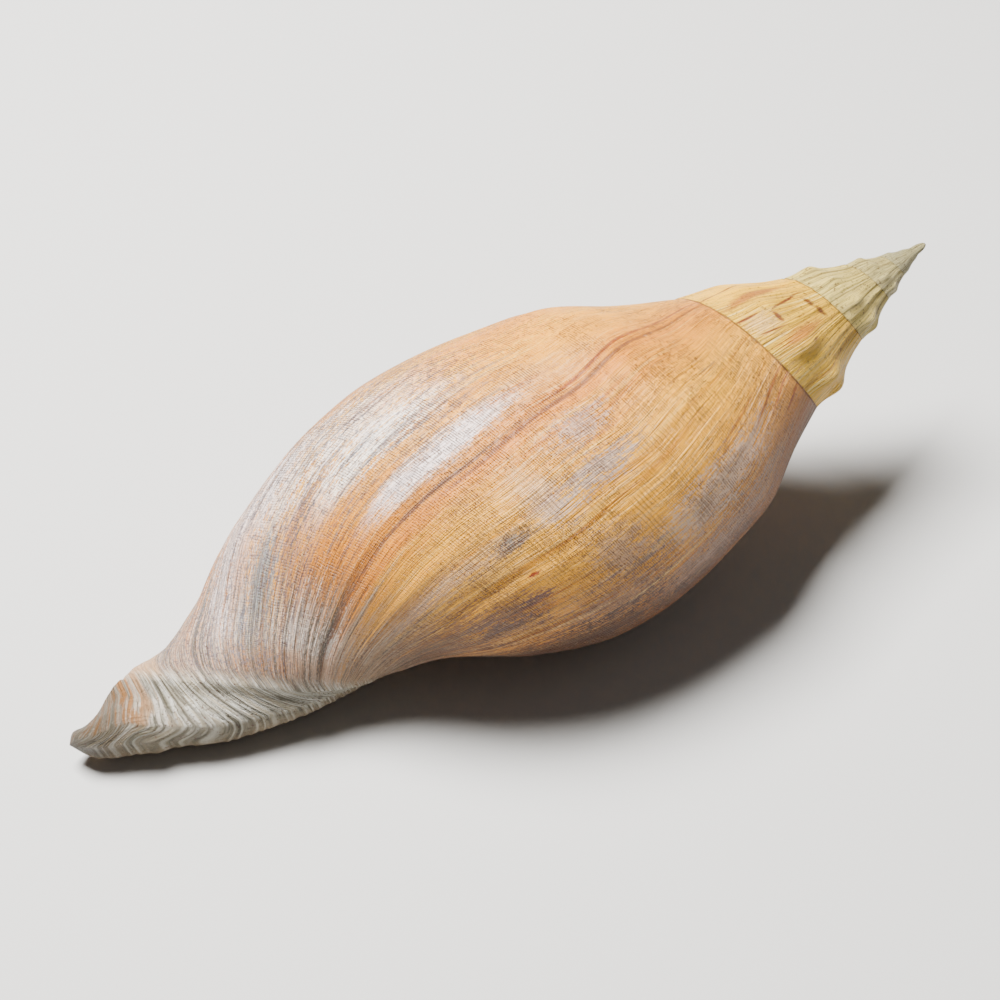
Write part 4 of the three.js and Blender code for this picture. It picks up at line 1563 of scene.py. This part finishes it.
@dataclass(frozen=True)
class ShellFinish:
    """Grown shell: satin outside with growth streaks and spiral striae, glazed mouth.

    The outside is worn matt, so its highlights are broad and soft. The mouth was polished by the animal
    and reflects a little more sharply.

    Attributes:
        body: Colours of the last whorl by growth line, over the ages in body_ages. Their dark end, from 0.72 on, is
            painted shade on the side and underside turned from the light.
        body_ages: Ages in degrees of the first and last of those colours.
        body_tones: Tones on the last whorl.
        lower: Colours of its lower part, toward the canal, by uneven streaks.
        thin_lines: Thin dark lines in regions of the last whorl.
        spire: Colours of the spire by uneven streaks.
        spire_tones: Tones on the spire. The first darkens the hollows between the ribs: darker growth lines and
            painted shade.
        canal: Colours of the canal's scales by uneven streaks.
        richness: How much stronger the outside's colours are than the ones listed.
        glaze: Colours of the mouth, over the ages in glaze_ages.
        glaze_ages: Ages in degrees of the first and last of those colours.
        striae: The spiral striae.
        cloud: Size of the soft noise's cells in millimetres, as wide as a worn patch.
        speck: Size of the fine noise's cells in millimetres. Real specks go down to 0.2 mm, but finer ones
            than these don't show.
        thin_scale_pitch: Distance between the growth lines on the canal's scales in millimetres. The real
            ones are finer, but these are the finest that show.
        outside_roughness: Roughness of the outside where the soft noise is 0 and 1.
        mouth_roughness: Roughness of the mouth.
        refraction: Index of refraction, a little under that of the mineral, for the organic film on it.
        bump_strength: How strongly the bump turns the light.
        bump_height: Height of the bump in metres.
    """

    # The stops from 0.72 on darken the right side and the underside, turned from the light: painted shade.
    body: tuple = (
        (0.0, "#c98a4a"), (0.1, "#d08e46"), (0.17, "#e2a850"), (0.24, "#e3ab5c"), (0.3, "#da9a56"),
        (0.36, "#cc8a50"), (0.42, "#d5914a"), (0.5, "#e8ae5e"), (0.58, "#e3a75a"), (0.66, "#d49a5e"),
        (0.72, "#b57f50"), (0.78, "#85593f"), (0.86, "#4b3121"), (0.93, "#5c3d28"), (1.0, "#80583a"),
    )
    body_ages: Span = (37.5, 267.5)
    body_tones: tuple[Tone, ...] = (
        Tone(MIDDLE, (0.54, 0.68), 0.4, "#f0cf93"),
        Tone(MIDDLE, (0.47, 0.33), 0.5, "#ab5c20"),
        Tone(BROAD, (0.52, 0.66), 0.35, "#bb7f48"),
        Tone(FINE, (0.54, 0.66), 0.24, "#f4dcae"),
        Tone(FINE, (0.47, 0.35), 0.38, "#93521e"),
        Tone(None, (0.52, 0.72), 0.3, "#c9a070"),
    )
    lower: tuple = (
        (0.0, "#55554c"), (0.2, "#857e72"), (0.36, "#c2b9ae"), (0.5, "#a67c5c"), (0.62, "#b3a798"),
        (0.76, "#876a54"), (0.9, "#aba094"), (1.0, "#605f55"),
    )
    thin_lines: tuple[Tone, ...] = (
        Tone(Streaks(1.875, 45.455, 12.3), (0.48, 0.37), 0.9, "#454146", Region.LEFT),
        Tone(Streaks(2.5, 62.5, 15.1), (0.48, 0.37), 0.45, "#b5784a", Region.LEFT),
        Tone(Streaks(1.3636, 3.8462, 19.1), (0.48, 0.37), 0.75, "#3f3c45", Region.LEFT),
        Tone(LOW_RIBS, (0.48, 0.37), 0.9, "#3f3c34", Region.LOW),
        Tone(Streaks(1.3636, 111.11, 23.8), (0.48, 0.37), 0.8, "#4a4238", Region.LOW),
        Tone(Streaks(3.0, 76.923, 25.2), (0.48, 0.37), 0.8, "#4c2e1c", Region.RIGHT),
        Tone(Streaks(1.5, 8.3333, 27.9), (0.48, 0.37), 0.7, "#55423a", Region.RIGHT),
    )
    spire: tuple = (
        (0.0, "#80602e"), (0.25, "#c5943e"), (0.42, "#e6b850"), (0.58, "#dba848"), (0.75, "#efca70"),
        (1.0, "#ad853c"),
    )
    spire_tones: tuple[Tone, ...] = (
        # Dark lines in the hollows between the spire's ribs: darker growth lines, and painted shade of the ribs.
        Tone(SPIRE_RIBS, (0.45, 0.36), 0.6, "#6b5429", Region.SPIRE),
        Tone(SPIRE_STAINS, (0.47, 0.38), 0.65, "#655a35", Region.OLD_SPIRE),
        Tone(SPIRE_LIGHTS, (0.56, 0.68), 0.6, "#f4e3a6", Region.SPIRE),
    )
    canal: tuple = (
        (0.0, "#958f80"), (0.25, "#bfbaac"), (0.5, "#dbd8ce"), (0.72, "#c3b8a2"), (1.0, "#a29986"),
    )
    richness: float = 1.16
    glaze: tuple = ((0.0, "#f0dcc0"), (0.12, "#eac79c"), (0.35, "#e0aa74"), (1.0, "#c98650"))
    glaze_ages: Span = (-60.0, 200.0)
    striae: SpiralStriae = SpiralStriae()
    cloud: float = 26.316
    speck: float = 1.25
    thin_scale_pitch: float = 1.25
    outside_roughness: Span = (0.36, 0.6)
    mouth_roughness: float = 0.2
    refraction: float = 1.5
    bump_strength: float = 0.9
    bump_height: float = 0.0006

    @staticmethod
    def slot(bench: Bench, age: Value, ages: Span) -> Socket:
        """Return the place of an age between two ages, from 0 to 1."""
        return bench.calc("DIVIDE", bench.calc("SUBTRACT", age, ages[0]), ages[1] - ages[0])

    def body_colour(self, lines: GrowthLines) -> Socket:
        """Colour the last whorl down to the canal.

        Args:
            lines: The growth lines.

        Returns:
            The colour's socket.
        """
        bench, line, along = lines.bench, lines.line, lines.along
        broad, middle, fine = (lines.streaks(streaks) for streaks in (BROAD, MIDDLE, FINE))
        # Bands of colour follow the growth lines, shifted by some degrees so that their edges aren't even. Toward
        # the right side and the underside they darken as painted shade.
        warp = bench.scaled(middle, 6.0, bench.times(broad, 9.0))
        colour = bench.ramp(self.slot(bench, bench.calc("ADD", line, warp), self.body_ages), self.body)
        # Light and dark growth streaks, which are fainter near the suture.
        whorl = bench.scaled(bench.rise(along, 1.25, 2.1), 0.6, 0.4)
        colour = lines.toned(colour, self.body_tones, {Region.WHORL: whorl})
        # The lower part turns grey and brown in uneven streaks, and dull on the right.
        uneven = bench.scaled(middle, 0.5, bench.times(fine, 0.5))
        lower = bench.ramp(bench.rise(uneven, 0.32, 0.68), self.lower)
        lower = bench.tint(line, 105.0, 165.0, 0.62, lower, "#786a5e")
        below = bench.scaled(bench.calc("SUBTRACT", middle, 0.5), 1.3, along)
        colour = bench.blend(bench.times(bench.rise(below, 2.95, 3.45), 0.88), colour, lower)
        colour = lines.blotched(colour, BODY_BLOTCHES)
        # Thin dark lines, broken up where crumbs of the outermost layer have worn off.
        crumbs = bench.scaled(bench.rise(lines.streaks(CRUMBS), 0.36, 0.56), 0.6, 0.4)
        return lines.toned(colour, self.thin_lines, {
            Region.LEFT: bench.times(lines.region((130.0, 85.0), (1.6, 2.3)), crumbs),
            Region.LOW: bench.times(bench.rise(along, 2.9, 3.35), crumbs),
            Region.RIGHT: bench.times(lines.region((120.0, 165.0), (2.3, 3.1)), crumbs),
        })

    def spire_colour(self, lines: GrowthLines) -> Socket:
        """Colour the spire's whorls, greyer and more worn toward the apex.

        Args:
            lines: The growth lines.

        Returns:
            The colour's socket.
        """
        bench, line = lines.bench, lines.line
        uneven = bench.scaled(lines.streaks(SPIRE_FINE), 0.55, bench.times(lines.streaks(SPIRE_BROAD), 0.45))
        colour = bench.ramp(bench.rise(uneven, 0.26, 0.74), self.spire)
        # Paler with age, and then greyer.
        colour = bench.tint(line, 600.0, 700.0, 0.7, colour, "#dccf8c")
        colour = bench.tint(line, 900.0, 1500.0, 0.8, colour, "#c4bf9a")
        masks = {Region.SPIRE: 1.0, Region.OLD_SPIRE: bench.rise(line, 640.0, 690.0)}
        return lines.blotched(lines.toned(colour, self.spire_tones, masks), SPIRE_BLOTCHES)

    def canal_colour(self, lines: GrowthLines) -> Socket:
        """Colour the canal's scales, each with a dark groove of painted shade before its worn pale edge.

        Args:
            lines: The growth lines.

        Returns:
            The colour's socket.
        """
        bench, line, scale, canal = lines.bench, lines.line, lines.scale, lines.canal
        shade = lines.streaks(SCALE_SHADES, on_scales=True)
        colour = bench.ramp(bench.rise(shade, 0.32, 0.68), self.canal)
        # Orange on the youngest scales, dull beyond the smooth ridge and on the oldest scales.
        young = bench.times(bench.rise(scale, 334.0, 350.0), bench.rise(shade, 0.36, 0.6))
        colour = bench.lay(young, 0.8, colour, "#b0713c")
        colour = bench.tint(canal, 1.05, 1.5, 0.85, colour, "#696250")
        colour = bench.tint(scale, 322.0, 300.0, 0.35, colour, "#7d7a70")
        # A dark groove before each scale's edge, where the relief steps down: painted shade. Thin dark growth lines
        # between them.
        sway = bench.times(bench.calc("SINE", bench.times(scale, SCALE_SWAY_RATE)), SCALE_SWAY)
        turn = bench.calc("FRACT", bench.scaled(scale, 1 / SCALE_PITCH, sway))
        drift = bench.times(shade, 4.0)
        thin = bench.calc("FRACT", bench.scaled(scale, 1 / self.thin_scale_pitch, drift))
        for wave, share in ((turn, 0.75), (thin, 0.8)):
            groove = bench.times(bench.rise(wave, 0.62, 0.9), bench.rise(wave, 1.0, 0.93))
            groove = bench.times(groove, bench.rise(shade, 0.75, 0.42))
            colour = bench.lay(groove, share, colour, "#484232")
        # A pale worn band on each lobe, and the dirt of the tip and of the oldest part.
        edge = bench.times(bench.rise(turn, 0.3, 0.55), bench.rise(turn, 0.75, 0.6), bench.rise(canal, 1.1, 1.6))
        colour = bench.lay(edge, 0.5, colour, "#d9d4c6")
        colour = bench.tint(lines.cloud, 0.52, 0.7, 0.35, colour, "#a99c86")
        colour = bench.tint(scale, 338.0, 356.0, 0.75, colour, "#463e30")
        return bench.tint(line, 130.0, 190.0, 0.75, colour, "#857058")

    def ground(self, lines: GrowthLines) -> Socket:
        """Colour the outside before its fine lines: the last whorl, the spire, the canal and the seam.

        Args:
            lines: The growth lines.

        Returns:
            The colour's socket.
        """
        bench, line = lines.bench, lines.line
        colour = bench.blend(lines.spire, self.body_colour(lines), self.spire_colour(lines))
        # Grey speckle on the worn side, a warm rim at the lip's edge, and a brown line in the suture.
        worn = bench.times(lines.region((112.0, 70.0), (1.7, 2.4)), 0.6)
        colour = bench.tint(lines.speck, 0.5, 0.6, worn, colour, "#6f6d74")
        colour = bench.tint(line, 5.0, 1.0, 0.45, colour, "#dcb184")
        colour = bench.blend(lines.canal, colour, self.canal_colour(lines))
        seam = lines.region((1300.0, 1100.0), (1.012, 1.003))
        return bench.lay(seam, 0.75, colour, "#4d2c16")

    def mouth_colour(self, lines: GrowthLines) -> Socket:
        """Colour the glazed mouth, paler at the lip.

        Args:
            lines: The growth lines.

        Returns:
            The colour's socket.
        """
        bench = lines.bench
        inner = bench.ramp(self.slot(bench, lines.line, self.glaze_ages), self.glaze, smooth=True)
        return bench.tint(lines.cloud, 0.45, 0.7, 0.18, inner, "#f3e6d2")

    def build(self) -> bpy.types.Material:
        """Make the material.

        Returns:
            The material of the whole shell.
        """
        material = bpy.data.materials.new("grown_shell_satin_outside_glazed_mouth")
        material.use_nodes = True
        bench = Bench(material.node_tree)
        bench.tree.nodes.clear()
        lines = GrowthLines.on(bench, self.cloud, self.speck)
        cloud, speck = lines.cloud, lines.speck
        outside = bench.rise(lines.part, 0.8, 0.2)
        body = bench.calc("SUBTRACT", 1.0, lines.canal, clamp=True)
        plain = bench.times(body, bench.scaled(lines.spire, -0.75, 1.0))
        striae = self.striae.mask(lines, plain)
        hair = lines.streaks(HAIR)

        # Cracks run where the noise crosses its middle value.
        cracks = bench.calc("ABSOLUTE", bench.calc("SUBTRACT", lines.streaks(CRACKS), 0.5))
        cracks = bench.times(bench.rise(cracks, 0.008, 0.0), bench.rise(cloud, 0.42, 0.55), plain)
        threads = bench.times(bench.rise(hair, 0.47, 0.33), body)
        dots = bench.times(bench.rise(speck, 0.575, 0.65), bench.rise(cloud, 0.36, 0.54))
        chalk = bench.rise(speck, 0.42, 0.2)
        colour = self.ground(lines)
        for mask, share, tone in (
            (threads, 0.5, "#75502f"), (striae, 0.7, "#5c4232"), (cracks, 0.6, "#5f382a"),
            (dots, 0.7, "#4e2a1a"), (chalk, 0.2, "#f6ead8"),
        ):
            colour = bench.lay(mask, share, colour, tone)
        colour = bench.add("ShaderNodeHueSaturation", {"Saturation": self.richness, "Color": colour}).outputs[0]
        colour = bench.blend(outside, self.mouth_colour(lines), colour)

        # Relief that is too low for the mesh: the same lines and specks that are coloured.
        low_ribs = bench.times(lines.streaks(LOW_RIBS), bench.rise(lines.along, 2.6, 3.4), body)
        spire_ribs = bench.times(lines.streaks(SPIRE_RIBS), lines.spire)
        wave = bench.calc("SINE", bench.times(lines.scale, 2 * math.pi / self.thin_scale_pitch))
        scales = bench.times(wave, bench.calc("MINIMUM", lines.canal, 1.0))
        relief = 0.0
        for pattern, weight in (
            (hair, 0.9), (lines.streaks(FINE), 0.9), (low_ribs, 3.0), (spire_ribs, 1.8), (scales, 0.35),
            (striae, -1.1), (speck, 0.5),
        ):
            relief = bench.scaled(pattern, weight, relief)
        bump = bench.add("ShaderNodeBump", {
            "Height": bench.times(relief, outside), "Strength": self.bump_strength, "Distance": self.bump_height,
        })
        smooth, matt = self.outside_roughness
        above = bench.scaled(cloud, matt - smooth, smooth - self.mouth_roughness)
        shader = bench.add("ShaderNodeBsdfPrincipled", {
            "Base Color": colour, "Roughness": bench.scaled(above, outside, self.mouth_roughness),
            "IOR": self.refraction, "Normal": bump.outputs[0],
        })
        bench.add("ShaderNodeOutputMaterial", {"Surface": shader.outputs[0]})
        return material


@dataclass
class RestingPose:
    """How the upright shell is laid on its mouth: turned about its axis, tipped over and shifted.

    Attributes:
        roll: Turn about the coiling axis in degrees.
        dip: How far the tip dips below level in degrees.
        turn: Turn that brings the length onto the X axis, in degrees.
        shift: Last move in millimetres.
    """

    roll: float = -33.49
    dip: float = 15.52
    turn: float = -90.0
    shift: Triple = (182.12, -10.48, 95.2)

    def matrix(self) -> Matrix:
        """Work out how the upright shell gets to its resting place.

        Returns:
            The move from the upright frame in millimetres to the resting place in metres.
        """
        turned = (
            Matrix.Rotation(math.radians(self.turn), 4, "Z")
            @ Matrix.Rotation(math.radians(90 + self.dip), 4, "X")
            @ Matrix.Rotation(math.radians(self.roll), 4, "Z")
        )
        return Matrix.Scale(MM, 4) @ Matrix.Translation(self.shift) @ turned


@dataclass
class Volute:
    """The shell itself, one grown piece.

    Attributes:
        builder: Makes its mesh.
        pose: How it is laid down.
        finish: What it looks like.
    """

    builder: ShellBuilder
    pose: RestingPose = field(default_factory=RestingPose)
    finish: ShellFinish = field(default_factory=ShellFinish)

    def build(self) -> bpy.types.Object:
        """Build the mesh, lay it down and dress it.

        Returns:
            The finished shell in its resting place.
        """
        shell = self.builder.build()
        shell.data.transform(self.pose.matrix())
        shell.data.materials.clear()
        shell.data.materials.append(self.finish.build())
        shell.data.shade_smooth()
        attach(shell, "root")
        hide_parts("shell")
        LOG.info("%s: %d faces", shell.name, len(shell.data.polygons))
        return shell


@dataclass(frozen=True)
class BackdropFinish:
    """Pale matt backdrop: it shows only the soft shadow and mirrors nothing.

    Attributes:
        colour: Its colour.
        roughness: Its roughness.
    """

    colour: str = "#bfbdb9"
    roughness: float = 0.9

    def build(self) -> bpy.types.Material:
        """Make the material.

        Returns:
            The floor's material.
        """
        material = bpy.data.materials.new("pale_matt_backdrop")
        material.use_nodes = True
        shader = material.node_tree.nodes["Principled BSDF"]
        shader.inputs["Base Color"].default_value = linear(self.colour)
        shader.inputs["Roughness"].default_value = self.roughness
        return material


@dataclass(frozen=True)
class Softbox:
    """A square soft light that faces the shell.

    Attributes:
        name: Its name.
        way: Its direction from the shell, in the camera's axes.
        power: Its power in watts.
        size: Its side in metres.
    """

    name: str
    way: Triple
    power: float
    size: float


@dataclass
class Studio:
    """A plain pale floor, soft lights and the camera at the photo's viewing angle.

    The photo was taken from above the shell, with the shell's length slanting across it.

    Attributes:
        pose: How the shell is laid down.
        pixel: Size of a photo pixel at the shell in millimetres.
        distance: Distance from the camera to the coiling axis in pixels.
        focus: Distance from the lens to the picture in pixels.
        middle: Place of the photo's middle along the coiling axis in millimetres.
        swing: Turn of the view along the shell in radians.
        tip: Turn of the view across the shell in radians.
        aim: The middle of the photo across and along the turned axis, in pixels.
        slant: The photo's sideways direction as cosine and sine in the turned frame.
        picture: Side of the picture in pixels.
        sensor: Side of the camera's sensor in millimetres.
        near: Nearest distance that the camera shows in metres.
        floor_reach: Distance from the middle to the floor's sides in metres.
        floor_finish: What the floor looks like.
        softboxes: The lights: a large key light from the upper left and a weak fill.
        light_aim: Height of the point that they face in metres.
        light_distance: Their distance from it in metres.
        air: Colour of the light from all round.
        air_strength: How strong that is.
    """

    pose: RestingPose
    pixel: float = 0.3854
    distance: float = 2700.0
    focus: float = 2721.7
    middle: float = 498.0
    swing: float = 0.0874
    tip: float = 0.1256
    aim: Span = (-31.6, 2.02)
    slant: Span = (0.5054, 0.8629)
    picture: int = 1000
    sensor: float = 36.0
    near: float = 0.01
    floor_reach: float = 6.0
    floor_finish: BackdropFinish = BackdropFinish()
    softboxes: tuple[Softbox, ...] = (
        Softbox("key_softbox", (-0.5, 1.2, 0.9), 130.0, 0.7),
        Softbox("fill_softbox", (1.2, 0.6, 1.2), 1.5, 1.4),
    )
    light_aim: float = 0.06
    light_distance: float = 1.5
    air: str = "#f6f7fa"
    air_strength: float = 0.07

    def turned(self) -> Matrix:
        """Work out how the view is turned against the shell.

        Returns:
            The move from the view's own turned frame to the upright frame, in millimetres.
        """
        tip = Matrix.Rotation(-self.tip, 4, "X")
        swing = Matrix.Rotation(self.swing, 4, "Y")
        there = Matrix.Translation((0, 0, self.middle * self.pixel))
        return there @ (swing @ tip).inverted()

    def camera(self) -> bpy.types.Object:
        """Place the camera at the photo's viewing angle and make it the scene's.

        Returns:
            The camera.
        """
        data = bpy.data.cameras.new("camera")
        data.sensor_width = self.sensor
        data.lens = self.sensor * self.focus / self.picture
        data.clip_start = self.near
        thing = linked("camera", data)
        across, up = self.slant
        right = Vector((across, 0, -up))
        top = Vector((-up, 0, -across))
        back = right.cross(top)
        place = Vector((self.aim[0] * self.pixel, self.distance * self.pixel, self.aim[1] * self.pixel))
        local = Matrix((
            (right.x, top.x, back.x, place.x),
            (right.y, top.y, back.y, place.y),
            (right.z, top.z, back.z, place.z),
            (0, 0, 0, 1),
        ))
        world = self.pose.matrix() @ self.turned() @ local
        where, how, _ = world.decompose()
        thing.matrix_world = Matrix.Translation(where) @ how.to_matrix().to_4x4()
        bpy.context.scene.camera = thing
        return thing

    def floor(self) -> bpy.types.Object:
        """Lay a plain pale floor that reaches well past the picture.

        Returns:
            The floor.
        """
        mesh = bpy.data.meshes.new("floor")
        reach = self.floor_reach
        corners = [(-reach, -reach, 0), (reach, -reach, 0), (reach, reach, 0), (-reach, reach, 0)]
        mesh.from_pydata(corners, [], [(0, 1, 2, 3)])
        mesh.materials.append(self.floor_finish.build())
        thing = linked("floor", mesh)
        return thing

    def lights(self, camera: bpy.types.Object) -> None:
        """Add the softboxes, turned with the camera, and the weak light from all round.

        Args:
            camera: The camera, whose axes the lights' directions are given in.
        """
        aim = Vector((0, 0, self.light_aim))
        axes = camera.matrix_world.to_3x3()
        for box in self.softboxes:
            data = bpy.data.lights.new(box.name, "AREA")
            data.energy = box.power
            data.size = box.size
            place = aim + (axes @ Vector(box.way)).normalized() * self.light_distance
            facing = (place - aim).to_track_quat("Z", "Y").to_matrix().to_4x4()
            linked(box.name, data).matrix_world = Matrix.Translation(place) @ facing
        world = bpy.data.worlds.new("studio_air")
        world.use_nodes = True
        background = world.node_tree.nodes["Background"]
        background.inputs["Color"].default_value = linear(self.air)
        background.inputs["Strength"].default_value = self.air_strength
        bpy.context.scene.world = world

    def build(self) -> None:
        """Add the floor, the camera and the lights."""
        self.floor()
        self.lights(self.camera())


def main() -> None:
    """Build the shell, then the studio round it."""
    logging.basicConfig(level=logging.INFO, format="%(name)s %(message)s")
    form = ShellForm()
    builder = ShellBuilder(form, GrowthMarks(form))
    shell = Volute(builder)
    shell.build()
    Studio(shell.pose).build()


if __name__ == "__main__":
    main()
